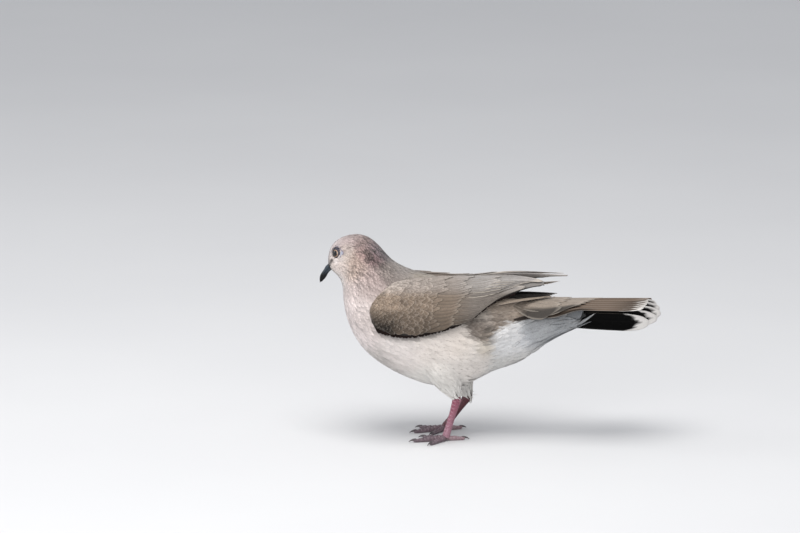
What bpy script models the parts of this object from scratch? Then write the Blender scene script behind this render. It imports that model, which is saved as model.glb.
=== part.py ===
"""White-tipped dove, life size, standing with its head turned away and its tail twisted.

The bird faces -X, its left side faces -Y and Z is up. Lengths are in millimetres until make()
turns them into metres. Run with: blender --background --python part.py
"""

import math
from collections import namedtuple

import bpy
from mathutils import Matrix, Vector
from mathutils.bvhtree import BVHTree

MM = 0.001

# Driving dimensions, in millimetres and degrees
GAP = 0.35  # clearance between neighbouring solids
HEAD_YAW = 27.0  # head turned towards the bird's right
YAW_PIVOT_X = -56.2  # the neck's own axis, about which the head turns
EYE = Vector((-80.2, 0.0, 139.6))  # midway between the eyes, before the yaw
EYE_RADIUS = 4.7
EYE_OFFSET = 5.9  # eyeball centre from the middle of the head
BILL_TIP = Vector((-99.2, 0.0, 113.6))
BILL_BEND = 6.0  # how far the bill runs straight out of the face before it droops

TAIL_ROOT_X = 58.0
TAIL_TIP_X = 162.5
TAIL_AXIS_Z = 104.6
TAIL_ROLL = 26.0  # left edge up
TAIL_ARCH = 28.0  # slope of each half below the middle feathers
TAIL_HALF_WIDTH = (15.0, 29.0)  # at the root and near the tip
TAIL_THICKNESS = (4.5, 1.4)

HUB_HEIGHT = 3.0  # centre of the ball where the toes meet

SEGMENTS = 30  # corners round a body ring
STEPS = 2  # rings between two body stations

# back and belly are (x, z) on the profile, before yaw and roll; widest is where the ring is
# widest: above 0 nearer the back, below 0 nearer the belly
Station = namedtuple("Station", "name back belly half_width widest yaw roll")

BODY = [
    Station("bill_base", (-92.0, 129.9), (-88.3, 125.2), 2.9, 0.0, 27, 0),
    Station("lores", (-91.4, 133.6), (-86.4, 123.4), 5.4, 0.0, 27, 0),
    Station("eye_front", (-90.3, 139.2), (-83.8, 121.6), 7.8, 0.05, 27, 0),
    Station("brow", (-87.4, 145.6), (-80.7, 119.0), 9.6, 0.05, 27, 0),
    Station("forecrown", (-80.5, 150.8), (-78.3, 115.3), 11.0, 0.0, 27, 0),
    Station("crown", (-69.5, 154.2), (-76.7, 110.3), 13.2, -0.05, 24, 0),
    Station("occiput", (-60.0, 153.4), (-76.2, 104.5), 16.8, -0.15, 18, 0),
    Station("nape", (-51.5, 147.8), (-75.3, 97.5), 21.5, -0.2, 11, 0),
    Station("hindneck", (-44.8, 140.2), (-73.2, 88.4), 26.5, -0.2, 5, 0),
    Station("shoulder", (-37.0, 133.2), (-69.2, 78.6), 31.0, -0.15, 1, 0),
    Station("mantle", (-24.0, 127.2), (-61.2, 66.8), 34.5, -0.1, 0, 0),
    Station("back", (-6.0, 122.6), (-48.0, 55.8), 36.0, -0.05, 0, 0),
    Station("loin", (12.0, 117.4), (-30.0, 46.0), 35.5, 0.0, 0, 0),
    Station("thigh", (28.0, 111.4), (-9.0, 39.2), 33.0, 0.0, 0, 0),
    Station("rump", (42.0, 108.2), (14.0, 39.6), 28.5, 0.05, 0, 0),
    Station("vent", (57.0, 107.8), (35.0, 50.2), 23.0, 0.1, 0, 2),
    Station("tail_root", (74.0, 107.4), (57.0, 58.4), 17.5, 0.1, 0, 8),
    Station("coverts", (90.0, 106.0), (76.0, 73.0), 12.5, 0.05, 0, 18),
    Station("coverts_end", (106.0, 103.0), (99.0, 84.6), 7.0, 0.0, 0, 26),
]
HEAD_END = 5.6  # station where head meets neck
NECK_END = 8.6  # station where neck meets trunk

# Folded wing, left side: x, upper edge (y, z), lower edge (y, z), thickness
WING_LEFT = [
    (-56.4, (-30.0, 104.0), (-31.5, 99.5), 1.5),
    (-54.9, (-29.5, 107.0), (-33.5, 94.8), 3.0),
    (-51.5, (-28.5, 112.0), (-36.0, 91.3), 4.0),
    (-47.0, (-26.5, 116.5), (-37.5, 88.8), 4.5),
    (-38.0, (-22.5, 122.0), (-39.5, 86.8), 4.5),
    (-24.0, (-18.5, 124.0), (-40.5, 86.4), 4.5),
    (-6.0, (-14.0, 124.8), (-40.0, 90.0), 4.5),
    (10.0, (-9.5, 124.6), (-38.0, 94.6), 4.5),
    (22.0, (-6.5, 124.2), (-34.0, 99.8), 4.0),
    (35.0, (-5.0, 124.2), (-28.5, 109.2), 2.8),
    (50.0, (-4.5, 124.0), (-21.5, 114.4), 2.2),
    (64.0, (-6.0, 122.8), (-15.5, 117.8), 1.6),
    (73.5, (-9.0, 120.6), (-12.0, 118.8), 0.9),
]
WING_RIGHT = WING_LEFT[:5] + [
    (-24.0, (-18.5, 122.4), (-40.5, 86.4), 4.5),
    (-6.0, (-14.0, 122.0), (-40.0, 90.0), 4.5),
    (10.0, (-9.5, 121.8), (-38.0, 94.6), 4.5),
    (22.0, (-7.0, 122.4), (-34.0, 99.8), 4.0),
    (35.0, (-6.0, 123.6), (-28.5, 109.6), 2.8),
    (50.0, (-6.0, 124.8), (-22.5, 114.6), 2.4),
    (66.0, (-6.5, 124.4), (-18.0, 117.8), 2.0),
    (80.0, (-8.0, 123.2), (-14.0, 120.4), 1.6),
    (91.5, (-10.0, 122.2), (-12.0, 121.2), 1.0),
]
# Folded primaries under the wing: x, upper edge, lower edge, thickness
PRIMARIES_LEFT = [
    (34.0, (-15.5, 111.6), (-24.5, 107.2), 1.2),
    (44.0, (-13.0, 112.3), (-23.0, 108.6), 1.6),
    (56.0, (-9.0, 111.9), (-18.5, 109.3), 1.6),
    (70.0, (-5.5, 111.0), (-13.0, 109.3), 1.4),
    (84.0, (-4.0, 110.2), (-8.5, 109.0), 1.1),
]
PRIMARIES_RIGHT = [
    (34.0, (-15.5, 113.0), (-25.0, 107.6), 1.2),
    (44.0, (-12.5, 114.2), (-23.0, 109.6), 1.6),
    (58.0, (-8.0, 115.6), (-18.0, 112.0), 1.6),
    (74.0, (-6.5, 116.6), (-13.0, 114.6), 1.4),
    (86.0, (-7.0, 117.0), (-11.0, 115.8), 1.1),
]
WING_LAY = 0.7  # gap under a wing where it lies on the body
WING_BULGE = 0.72  # how far a section's middle swells towards its outer corner

Leg = namedtuple("Leg", "side hub ankle knee heading")
LEGS = [
    Leg("left", (0.0, -16.0), (8.7, -16.5, 33.0), (-6.0, -19.0, 62.0), 14.0),
    Leg("right", (-0.5, 16.5), (17.0, 15.5, 27.0), (4.0, 18.0, 60.0), -21.0),
]
TARSUS = [(0.0, 3.0), (0.12, 2.8), (0.3, 2.5), (0.6, 2.6), (0.82, 3.0), (0.95, 3.4)]
# number, angle from the foot's heading (outwards is positive), length, root and tip radius
TOES = [
    (1, 176.0, 14.0, 2.1, 1.4),
    (2, -36.0, 18.5, 2.1, 1.4),
    (3, 0.0, 25.0, 2.3, 1.45),
    (4, 40.0, 20.0, 2.1, 1.4),
]
CLAW_LENGTH = 5.5
CLAW_RADIUS = 1.15

COLOURS = {
    "plumage": ((0.62, 0.55, 0.51), 0.8),
    "mantle": ((0.33, 0.29, 0.25), 0.8),
    "flight": ((0.12, 0.1, 0.09), 0.7),
    "leg": ((0.42, 0.11, 0.14), 0.5),
    "horn": ((0.03, 0.03, 0.035), 0.35),
    "eye": ((0.02, 0.015, 0.01), 0.05),
}


def spline(values, at):
    """Catmull-Rom through a list of numbers or tuples, at a place counted in items."""
    last = len(values) - 1
    i = min(int(at), last - 1)
    t = at - i
    p0, p1, p2, p3 = (values[min(max(k, 0), last)] for k in (i - 1, i, i + 1, i + 2))
    if isinstance(p1, (tuple, list, Vector)):
        return tuple(spline([a, b, c, d], 1 + t) for a, b, c, d in zip(p0, p1, p2, p3))
    return 0.5 * (
        2 * p1
        + (p2 - p0) * t
        + (2 * p0 - 5 * p1 + 4 * p2 - p3) * t * t
        + (3 * p1 - p0 - 3 * p2 + p3) * t * t * t
    )


def turn_head(point, degrees):
    """Turns a point about the neck's upright axis, towards the bird's right."""
    pivot = Vector((YAW_PIVOT_X, 0, 0))
    return Matrix.Rotation(math.radians(-degrees), 3, "Z") @ (Vector(point) - pivot) + pivot


def body_ring(at, grow=0.0):
    """One closed ring of the body's surface, grown by a clearance."""
    back = Vector(spline([s.back for s in BODY], at))
    belly = Vector(spline([s.belly for s in BODY], at))
    half_width = spline([s.half_width for s in BODY], at) + grow
    widest = spline([s.widest for s in BODY], at)
    yaw = spline([s.yaw for s in BODY], at)
    roll = spline([s.roll for s in BODY], at)
    middle = (back + belly) / 2
    half = (back - belly) / 2
    half *= 1 + grow / half.length
    up = Vector((half.x, 0, half.y))
    centre = Vector((middle.x, 0, middle.y))
    across = Vector((0, 1, 0))
    tilt = Matrix.Rotation(math.radians(roll), 3, up.cross(across).normalized())
    ring = []
    for k in range(SEGMENTS):
        angle = 2 * math.pi * k / SEGMENTS
        side = math.sin(angle) * (1 + widest * math.cos(angle))
        offset = tilt @ (up * math.cos(angle) + across * half_width * side)
        ring.append(turn_head(centre + offset, yaw))
    return ring


def body_rings(start, end, grow=0.0):
    count = max(2, round((end - start) * STEPS) + 1)
    return [body_ring(start + (end - start) * i / (count - 1), grow) for i in range(count)]


def make(name, vertices, faces, colour, helper=False, smooth_angle=35):
    """A named object from points in millimetres; a helper only cuts."""
    mesh = bpy.data.meshes.new(name)
    mesh.from_pydata([Vector(v) * MM for v in vertices], [], faces)
    mesh.validate()
    mesh.shade_smooth()
    mesh.set_sharp_from_angle(angle=math.radians(smooth_angle))
    thing = bpy.data.objects.new(name, mesh)
    bpy.context.scene.collection.objects.link(thing)
    if helper:
        thing.hide_render = True
        thing.display_type = "WIRE"
    else:
        mesh.materials.append(material(colour))
    return thing


def material(name):
    """The Principled material for one of the bird's colours."""
    found = bpy.data.materials.get(name)
    if found:
        return found
    made = bpy.data.materials.new(name)
    made.use_nodes = True
    shader = made.node_tree.nodes["Principled BSDF"]
    colour, roughness = COLOURS[name]
    shader.inputs["Base Color"].default_value = (*colour, 1)
    shader.inputs["Roughness"].default_value = roughness
    return made


def tube(name, rings, colour, helper=False):
    """A closed solid through rings that all run the same way round."""
    count = len(rings[0])
    vertices = [v for ring in rings for v in ring]
    faces = []
    for i in range(len(rings) - 1):
        for k in range(count):
            a, b = i * count + k, i * count + (k + 1) % count
            faces.append((a, b, b + count, a + count))
    for base, flip in ((0, True), ((len(rings) - 1) * count, False)):
        middle = len(vertices)
        vertices.append(sum((Vector(v) for v in vertices[base : base + count]), Vector()) / count)
        for k in range(count):
            a, b = base + k, base + (k + 1) % count
            faces.append((b, a, middle) if flip else (a, b, middle))
    return outward(make(name, vertices, faces, colour, helper))


def slab(name, top, bottom, colour, helper=False):
    """A closed solid between two grids of points, walled round their edges."""
    rows, columns = len(top), len(top[0])
    vertices = [v for row in top for v in row] + [v for row in bottom for v in row]
    under = rows * columns
    faces = []
    for i in range(rows - 1):
        for k in range(columns - 1):
            a = i * columns + k
            b, c, d = a + 1, a + 1 + columns, a + columns
            faces += [(a, b, c), (a, c, d)]
            faces += [tuple(v + under for v in face) for face in ((c, b, a), (d, c, a))]
    edge = [k for k in range(columns)]
    edge += [i * columns + columns - 1 for i in range(1, rows)]
    edge += [(rows - 1) * columns + k for k in range(columns - 2, -1, -1)]
    edge += [i * columns for i in range(rows - 2, 0, -1)]
    for a, b in zip(edge, edge[1:] + edge[:1]):
        faces.append((b, a, a + under, b + under))
    return outward(make(name, vertices, faces, colour, helper))


def outward(thing):
    """Turns the faces outward if the solid's volume comes out negative."""
    mesh = thing.data
    volume = 0.0
    for face in mesh.polygons:
        corners = [mesh.vertices[v].co for v in face.vertices]
        for b, c in zip(corners[1:], corners[2:]):
            volume += corners[0].dot(b.cross(c))
    if volume < 0:
        mesh.flip_normals()
    return thing


def cut(thing, *cutters):
    """Takes each cutter's volume out of thing."""
    for cutter in cutters:
        boolean = thing.modifiers.new("cut_" + cutter.name, "BOOLEAN")
        boolean.operation = "DIFFERENCE"
        boolean.solver = "EXACT"
        boolean.object = cutter


def path_tube(name, points, radii, colour, sides=12, floor=None, helper=False):
    """A round bar through points, with a radius at each; floor flattens what would go below it."""
    rings = []
    across = None
    for i, (point, radius) in enumerate(zip(points, radii)):
        ahead = Vector(points[min(i + 1, len(points) - 1)])
        behind = Vector(points[max(i - 1, 0)])
        along = (ahead - behind).normalized()
        if across is None:
            across = Vector((0, 1, 0)) if abs(along.y) < 0.9 else Vector((1, 0, 0))
        across = (across - along * across.dot(along)).normalized()
        up = across.cross(along).normalized()
        ring = []
        for k in range(sides):
            angle = 2 * math.pi * k / sides
            v = Vector(point) + (across * math.sin(angle) + up * math.cos(angle)) * radius
            if floor is not None:
                v.z = max(v.z, floor)
            ring.append(v)
        rings.append(ring)
    return tube(name, rings, colour, helper)


def ball(name, centre, radius, colour, helper=False, sides=16):
    """A sphere as a tube of rings along Y."""
    rows = sides // 2
    rings = []
    for i in range(1, rows):
        polar = math.pi * i / rows
        r, y = radius * math.sin(polar), -radius * math.cos(polar)
        rings.append(
            [
                Vector(centre) + Vector((r * math.cos(a), y, r * math.sin(a)))
                for a in (2 * math.pi * k / sides for k in range(sides))
            ]
        )
    return tube(name, rings, colour, helper)


def build_body():
    """Head, neck and trunk, parted by thin flat cuts."""
    part = 0.02  # half the cut, in stations
    last = len(BODY) - 1
    shape = body_rings(0, last)
    faces = []
    for i in range(len(shape) - 1):
        for k in range(SEGMENTS):
            a, b = i * SEGMENTS + k, i * SEGMENTS + (k + 1) % SEGMENTS
            faces.append((a, a + SEGMENTS, b + SEGMENTS, b))
    tree = BVHTree.FromPolygons([v for ring in shape for v in ring], faces)
    head = tube("head", body_rings(0, HEAD_END - part), "plumage")
    tube("neck", body_rings(HEAD_END + part, NECK_END - part), "plumage")
    trunk = tube("trunk", body_rings(NECK_END + part, last), "plumage")
    return head, trunk, tree


def build_eyes(head):
    for side, sign in (("left", -1), ("right", 1)):
        centre = turn_head(EYE + Vector((0, sign * EYE_OFFSET, 0)), HEAD_YAW)
        ball("eye_" + side, centre, EYE_RADIUS, "eye")
        cut(head, ball("socket_" + side, centre, EYE_RADIUS + GAP, None, helper=True))


def bill_half(name, sign, share):
    """One half of the bill (sign +1 upper, -1 lower) over a share of its length."""
    back = Vector((BODY[0].back[0], 0, BODY[0].back[1]))
    belly = Vector((BODY[0].belly[0], 0, BODY[0].belly[1]))
    forward = Vector((0, 1, 0)).cross(belly - back).normalized()
    forward = forward if forward.x < 0 else -forward
    root = back.lerp(belly, 0.58) + forward * GAP
    bend = root + forward * BILL_BEND
    rings = []
    for i in range(10):
        t = share * i / 9
        centre = root * (1 - t) ** 2 + bend * 2 * t * (1 - t) + BILL_TIP * t * t
        along = ((bend - root) * (1 - t) + (BILL_TIP - bend) * t).normalized()
        up = Vector((0, 1, 0)).cross(along)
        up = up if up.x < 0 else -up
        swell = 0.45 * math.exp(-(((t - 0.7) / 0.18) ** 2))
        taper = math.sqrt(max(0.02, 1 - t**5))
        width = (2.6 - 1.5 * t + swell) * taper
        height = ((2.9 if sign > 0 else 2.0) - 1.3 * t + swell) * taper
        ring = []
        for k in range(13):
            angle = math.pi * k / 12
            side = Vector((0, width * math.cos(angle), 0))
            ring.append(centre + side + up * sign * (GAP / 2 + height * math.sin(angle)))
        rings.append([turn_head(v, HEAD_YAW) for v in ring])
    return tube(name, rings, "horn")


def build_bill():
    bill_half("bill_upper", 1, 1.0)
    bill_half("bill_lower", -1, 0.93)


def wing_section(row, side, across):
    """A wing section's outer and inner curves, from the upper edge to the lower."""
    x, upper, lower, thickness = row
    upper, lower = Vector(upper), Vector(lower)
    fullness = WING_BULGE * min(1, (lower - upper).length / 14)
    corner = upper.lerp(lower, 0.5).lerp(Vector((lower.x, upper.y)), fullness)
    outer, inner = [], []
    for k in range(across + 1):
        t = k / across
        p = upper * (1 - t) ** 2 + corner * 2 * t * (1 - t) + lower * t * t
        along = (corner - upper) * (1 - t) + (lower - corner) * t
        inward = Vector((-along.y, along.x)).normalized()
        inward = inward if inward.x > 0 else -inward
        deep = thickness * math.sin(math.pi * (0.18 + 0.64 * t))
        q = p + inward * deep
        outer.append((Vector((x, side * p.x, p.y)), deep))
        inner.append((Vector((x, side * q.x, q.y)), 0.0))
    return outer, inner


def clear_of(tree, point, distance):
    """The point, moved straight out from the body until it stands this far off."""
    near, normal, _, _ = tree.find_nearest(point)
    height = (point - near).dot(normal)
    return point + normal * (distance - height) if height < distance else point


def blade(name, stations, side, colour, tree, across):
    """A curved blade through wing sections, laid over the body wherever it would cut into it."""
    count = 2 * len(stations) - 1
    outer_grid, inner_grid = [], []
    for i in range(count):
        row = spline(stations, (len(stations) - 1) * i / (count - 1))
        outer, inner = wing_section(row, side, across)
        outer_grid.append([clear_of(tree, p, WING_LAY + deep) for p, deep in outer])
        inner_grid.append([clear_of(tree, q, WING_LAY) for q, _ in inner])
    return slab(name, outer_grid, inner_grid, colour)


def build_wings(tree):
    for side, sign, wing, primaries in (
        ("left", 1, WING_LEFT, PRIMARIES_LEFT),
        ("right", -1, WING_RIGHT, PRIMARIES_RIGHT),
    ):
        blade("wing_" + side, wing, sign, "mantle", tree, 8)
        blade("primaries_" + side, primaries, sign, "flight", tree, 4)


def tail_grid(grow):
    """Upper and lower grids of the tail fan."""
    roll = math.radians(TAIL_ROLL)
    slope = math.tan(math.radians(TAIL_ARCH))
    rows, columns = 9, 13
    top, bottom = [], []
    for i in range(rows):
        u = i / (rows - 1)
        spread = TAIL_HALF_WIDTH[0] + (TAIL_HALF_WIDTH[1] - TAIL_HALF_WIDTH[0]) * u**0.35
        thickness = TAIL_THICKNESS[0] + (TAIL_THICKNESS[1] - TAIL_THICKNESS[0]) * u**0.7
        upper, lower = [], []
        for k in range(columns):
            q = 2 * k / (columns - 1) - 1
            shorter = 0.75 * (q - 0.5) ** 2 if q > 0.5 else 0.09 * min(1, 1 - 2 * q) ** 1.5
            shorter += 0.07 * min(0, q) ** 2
            length = (TAIL_TIP_X - TAIL_ROOT_X) * (1 - shorter)
            x = TAIL_ROOT_X + length * u + (grow if i == rows - 1 else -grow * (i == 0))
            y = q * (spread + grow)
            z = -slope * (math.sqrt(y * y + 9) - 3)
            half = thickness / 2 * (1 - 0.6 * q * q) + grow
            for side, grid in ((1, upper), (-1, lower)):
                h = z + side * half
                grid.append(
                    (
                        x,
                        y * math.cos(roll) + h * math.sin(roll),
                        TAIL_AXIS_Z - y * math.sin(roll) + h * math.cos(roll),
                    )
                )
        top.append(upper)
        bottom.append(lower)
    return top, bottom


def build_tail(trunk):
    top, bottom = tail_grid(0.0)
    slab("tail", top, bottom, "flight")
    top, bottom = tail_grid(GAP)
    cut(trunk, slab("tail_clearance", top, bottom, None, helper=True))


def build_leg(leg, body_clearance):
    """Feathered shank, scaly tarsus and four toes, each with its claw."""
    hub = Vector((*leg.hub, HUB_HEIGHT))
    ankle, knee = Vector(leg.ankle), Vector(leg.knee)
    shank = path_tube(
        "shank_" + leg.side,
        [ankle.lerp(knee, t) for t in (0.1, 0.22, 0.4, 0.6, 0.85, 1)],
        [4.0, 5.8, 9.2, 12.0, 13.5, 12.5],
        "plumage",
        sides=20,
    )
    cut(shank, body_clearance)

    def tarsus(name, grow, helper=False):
        points = [hub + Vector((0, 0, 0.25 - HUB_HEIGHT - grow))]
        points += [hub.lerp(ankle, t) for t, _ in TARSUS] + [ankle]
        radii = [2.2 + grow] + [r + grow for _, r in TARSUS] + [2.8 + grow]
        return path_tube(name, points, radii, "leg", sides=14, helper=helper)

    tarsus("tarsus_" + leg.side, 0.0)
    tarsus_clearance = tarsus("tarsus_clearance_" + leg.side, GAP, helper=True)
    cutters = [tarsus_clearance]
    outwards = -1 if leg.side == "left" else 1
    for number, angle, length, root, tip in sorted(TOES, key=lambda toe: toe[0] != 3):
        turn = math.radians(leg.heading + angle)
        ahead = Vector((-math.cos(turn), outwards * math.sin(turn), 0))

        def toe(name, grow, helper=False):
            points, radii = [], []
            for t in (0.0, 0.18, 0.36, 0.55, 0.75, 0.93, 1.0):
                radius = (root + (tip - root) * t) * (1 if t < 0.95 else 0.85)
                points.append(ahead * length * t + Vector((0, 0, radius * 0.78 + 1.2 * (1 - t) ** 4)))
                radii.append(radius + grow)
            for t, height, radius in ((0.06, 1.5, 1.0), (0.35, 1.55, 0.9), (0.7, 1.2, 0.6), (1, 0.35, 0.2)):
                points.append(ahead * (length + CLAW_LENGTH * t) + Vector((0, 0, height)))
                radii.append(CLAW_RADIUS * radius + grow)
            points = [Vector((hub.x, hub.y, 0)) + v for v in points]
            floor = None if helper else 0.0
            return path_tube(name, points, radii, "leg", sides=10, floor=floor, helper=helper)

        made = toe(f"toe_{leg.side}_{number}", 0.0)
        cut(made, *(cutters[:1] if number == 1 else cutters))
        if number == 3:
            cutters.append(toe("middle_toe_clearance_" + leg.side, GAP, helper=True))


def centre_on_floor():
    """Moves everything so that the bounding box's middle is over the origin."""
    bpy.context.view_layer.update()
    graph = bpy.context.evaluated_depsgraph_get()
    shown = [o for o in bpy.context.scene.objects if not o.hide_render]
    corners = []
    for thing in shown:
        mesh = thing.evaluated_get(graph).to_mesh()
        corners += [v.co.copy() for v in mesh.vertices]
    lowest = Vector([min(c[k] for c in corners) for k in range(3)])
    highest = Vector([max(c[k] for c in corners) for k in range(3)])
    middle = (lowest + highest) / 2
    stance = bpy.data.objects.new("stance", None)
    bpy.context.scene.collection.objects.link(stance)
    stance.location = (-middle.x, -middle.y, -lowest.z)
    for thing in bpy.context.scene.objects:
        if thing is not stance:
            thing.parent = stance


def main():
    for thing in list(bpy.data.objects):
        bpy.data.objects.remove(thing)
    head, trunk, tree = build_body()
    build_eyes(head)
    build_bill()
    build_wings(tree)
    build_tail(trunk)
    last = len(BODY) - 1
    body_clearance = tube("body_clearance", body_rings(NECK_END, last, GAP), None, helper=True)
    for leg in LEGS:
        build_leg(leg, body_clearance)
    centre_on_floor()


main()
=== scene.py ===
import bpy
import math
import numpy as np
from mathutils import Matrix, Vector
from mathutils.bvhtree import BVHTree
from mathutils.kdtree import KDTree


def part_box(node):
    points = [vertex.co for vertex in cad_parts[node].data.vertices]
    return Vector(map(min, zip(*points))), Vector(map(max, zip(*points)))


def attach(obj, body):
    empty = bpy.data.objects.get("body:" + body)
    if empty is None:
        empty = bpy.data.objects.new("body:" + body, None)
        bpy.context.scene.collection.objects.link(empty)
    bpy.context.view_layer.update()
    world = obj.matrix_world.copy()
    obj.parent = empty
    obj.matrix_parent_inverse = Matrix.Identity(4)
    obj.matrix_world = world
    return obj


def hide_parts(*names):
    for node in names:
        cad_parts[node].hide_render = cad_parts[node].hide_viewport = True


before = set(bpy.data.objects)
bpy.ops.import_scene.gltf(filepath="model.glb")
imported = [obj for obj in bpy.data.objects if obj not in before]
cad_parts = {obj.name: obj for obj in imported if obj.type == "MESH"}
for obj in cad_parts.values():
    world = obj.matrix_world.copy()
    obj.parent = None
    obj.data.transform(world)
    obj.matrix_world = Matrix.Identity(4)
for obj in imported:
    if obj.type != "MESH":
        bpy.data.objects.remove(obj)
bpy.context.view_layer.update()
milli = 0.001
tailTipX = 162.5
# everything is worked out in the bird's own millimetres, in which its tail ends at tailTipX
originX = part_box("tail")[1].x / milli - tailTipX
rng = np.random.default_rng(41)


def toFrame(points):
    return (np.asarray(points, float) + [originX, 0, 0]) * milli


def unit(v):
    return v / np.maximum(np.linalg.norm(v, axis=-1, keepdims=True), 1e-9)


def ease(low, high, value):
    t = np.clip((np.asarray(value, float) - low) / (high - low), 0, 1)
    return t * t * (3 - 2 * t)


def paint(r, g, b):
    return np.array([(c / 255) ** 2.2 for c in (r, g, b)])


def curveThrough(rows, at):
    # a smooth curve through rows of numbers, read at fractional row numbers
    rows, at = np.asarray(rows, float), np.atleast_1d(np.asarray(at, float))
    i = np.clip(np.floor(at).astype(int), 0, len(rows) - 2)
    t = (at - i)[:, None]
    a, b = rows[np.maximum(i - 1, 0)], rows[i]
    c, d = rows[i + 1], rows[np.minimum(i + 2, len(rows) - 1)]
    return 0.5 * (2 * b + (c - a) * t + (2 * a - 5 * b + 4 * c - d) * t**2 + (3 * b - a - 3 * c + d) * t**3)


def nodeMesh(name):
    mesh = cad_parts[name].data
    co = np.zeros(len(mesh.vertices) * 3)
    mesh.vertices.foreach_get("co", co)
    return co.reshape(-1, 3) / milli - [originX, 0, 0], [tuple(p.vertices) for p in mesh.polygons]


def makeMesh(name, points, faces):
    # faces is one array of triangles or quads, or several
    faces = faces if isinstance(faces, list) else [faces]
    mesh = bpy.data.meshes.new(name)
    loops = np.concatenate([f.ravel() for f in faces])
    sizes = np.concatenate([np.full(len(f), f.shape[1]) for f in faces])
    mesh.vertices.add(len(points))
    mesh.vertices.foreach_set("co", np.asarray(points, np.float32).ravel())
    mesh.loops.add(len(loops))
    mesh.loops.foreach_set("vertex_index", loops.astype(np.int32))
    mesh.polygons.add(len(sizes))
    mesh.polygons.foreach_set("loop_start", np.concatenate([[0], np.cumsum(sizes)[:-1]]).astype(np.int32))
    mesh.update(calc_edges=True)
    return mesh, loops


def makePiece(name, points, faces, material, vane=None, bake=None, loopBake=None, colour=None,
              trim=None, stands=()):
    mesh, loops = makeMesh(name, toFrame(points), faces)
    for layer, uv in (("OFBake", bake), ("vane", vane)):
        if uv is not None:
            data = mesh.uv_layers.new(name=layer).data
            data.foreach_set("uv", np.asarray(uv, np.float32)[loops].ravel())
    if loopBake is not None:
        mesh.uv_layers.new(name="OFBake").data.foreach_set("uv", np.asarray(loopBake, np.float32).ravel())
    for layer, values in (("plumage", colour), ("trim", trim)):
        if values is not None:
            rgba = np.ones((len(points), 4), np.float32)
            rgba[:, :3] = values
            mesh.color_attributes.new(layer, "FLOAT_COLOR", "POINT").data.foreach_set("color", rgba.ravel())
    mesh.shade_smooth()
    mesh.materials.append(material)
    thing = bpy.data.objects.new(name, mesh)
    bpy.context.scene.collection.objects.link(thing)
    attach(thing, "root")
    if stands:
        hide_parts(*stands)


remeshWants = dict(weld=0.01, inward=0.62, outward=-0.6)


def remeshed(names, voxel, swell, passes):
    # the named solids as one closed mesh without facets
    points, faces = [], []
    for name in names:
        co, polys = nodeMesh(name)
        start = sum(len(p) for p in points)
        points.append(co)
        faces += [tuple(i + start for i in p) for p in polys]
    points = np.concatenate(points)
    mesh = bpy.data.meshes.new("rough")
    mesh.from_pydata([tuple(p) for p in points], [], faces)
    rough = bpy.data.objects.new("rough", mesh)
    bpy.context.scene.collection.objects.link(rough)
    weld = rough.modifiers.new("weld", "WELD")
    weld.merge_threshold = remeshWants["weld"]
    if swell:
        push = rough.modifiers.new("push", "DISPLACE")
        push.strength, push.mid_level = swell, 0
    voxels = rough.modifiers.new("voxels", "REMESH")
    voxels.mode, voxels.voxel_size = "VOXEL", voxel
    done = bpy.data.meshes.new_from_object(rough.evaluated_get(bpy.context.evaluated_depsgraph_get()))
    co = np.zeros(len(done.vertices) * 3)
    done.vertices.foreach_get("co", co)
    co = co.reshape(-1, 3)
    quads = np.array([tuple(p.vertices) for p in done.polygons if len(p.vertices) == 4])
    bpy.data.objects.remove(rough)
    bpy.data.meshes.remove(mesh)
    bpy.data.meshes.remove(done)
    edges = np.unique(np.sort(np.concatenate([quads[:, [k, (k + 1) % 4]] for k in range(4)]), axis=1), axis=0)
    count = np.bincount(edges.ravel(), minlength=len(co))[:, None]
    for k in range(2 * passes):
        total = np.zeros_like(co)
        for axis in range(3):
            total[:, axis] = (np.bincount(edges[:, 0], co[edges[:, 1], axis], len(co))
                              + np.bincount(edges[:, 1], co[edges[:, 0], axis], len(co)))
        # in and out again, so that the shape keeps its size
        step = remeshWants["inward" if k % 2 == 0 else "outward"]
        co = co + step * (total / np.maximum(count, 1) - co)
    return co, quads


def vertexNormals(points, quads):
    a, b = points[quads[:, 2]] - points[quads[:, 0]], points[quads[:, 3]] - points[quads[:, 1]]
    flat = np.cross(a, b)
    normals = np.zeros_like(points)
    for k in range(quads.shape[1]):
        for axis in range(3):
            normals[:, axis] += np.bincount(quads[:, k], flat[:, axis], len(points))
    return unit(normals)


def gridFaces(rows, columns, wrap=False):
    i, j = np.meshgrid(np.arange(rows - 1), np.arange(columns if wrap else columns - 1), indexing="ij")
    i, j, k = i.ravel(), j.ravel(), ((j + 1) % columns).ravel()
    return np.stack([i * columns + j, i * columns + k, (i + 1) * columns + k, (i + 1) * columns + j], axis=1)


def gridUv(along, across):
    return np.stack(np.meshgrid(along, across, indexing="ij"), axis=-1).reshape(-1, 2)


def rimFaces(rows, columns, further):
    # quads that join the edge of a grid to the edge of its copy, whose vertices come so many places later
    edge = np.concatenate([np.arange(columns), np.arange(1, rows) * columns + columns - 1,
                           (rows - 1) * columns + np.arange(columns - 2, -1, -1),
                           np.arange(rows - 2, 0, -1) * columns])
    nextEdge = np.roll(edge, -1)
    return np.stack([nextEdge, edge, edge + further, nextEdge + further], axis=1)


def thinned(places, gaps):
    # which places stay when each one in turn clears the room round it
    tree = KDTree(len(places))
    for i, place in enumerate(places):
        tree.insert(Vector(place), i)
    tree.balance()
    free = np.ones(len(places), bool)
    kept = []
    for i in range(len(places)):
        if free[i]:
            kept.append(i)
            for _, j, _ in tree.find_range(Vector(places[i]), gaps[i]):
                free[j] = False
    return kept


def varied(colour, by):
    # each feather a little darker or paler than the next
    return colour * (1 + by * rng.normal(size=(len(colour), 1, 1, 1)))


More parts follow.
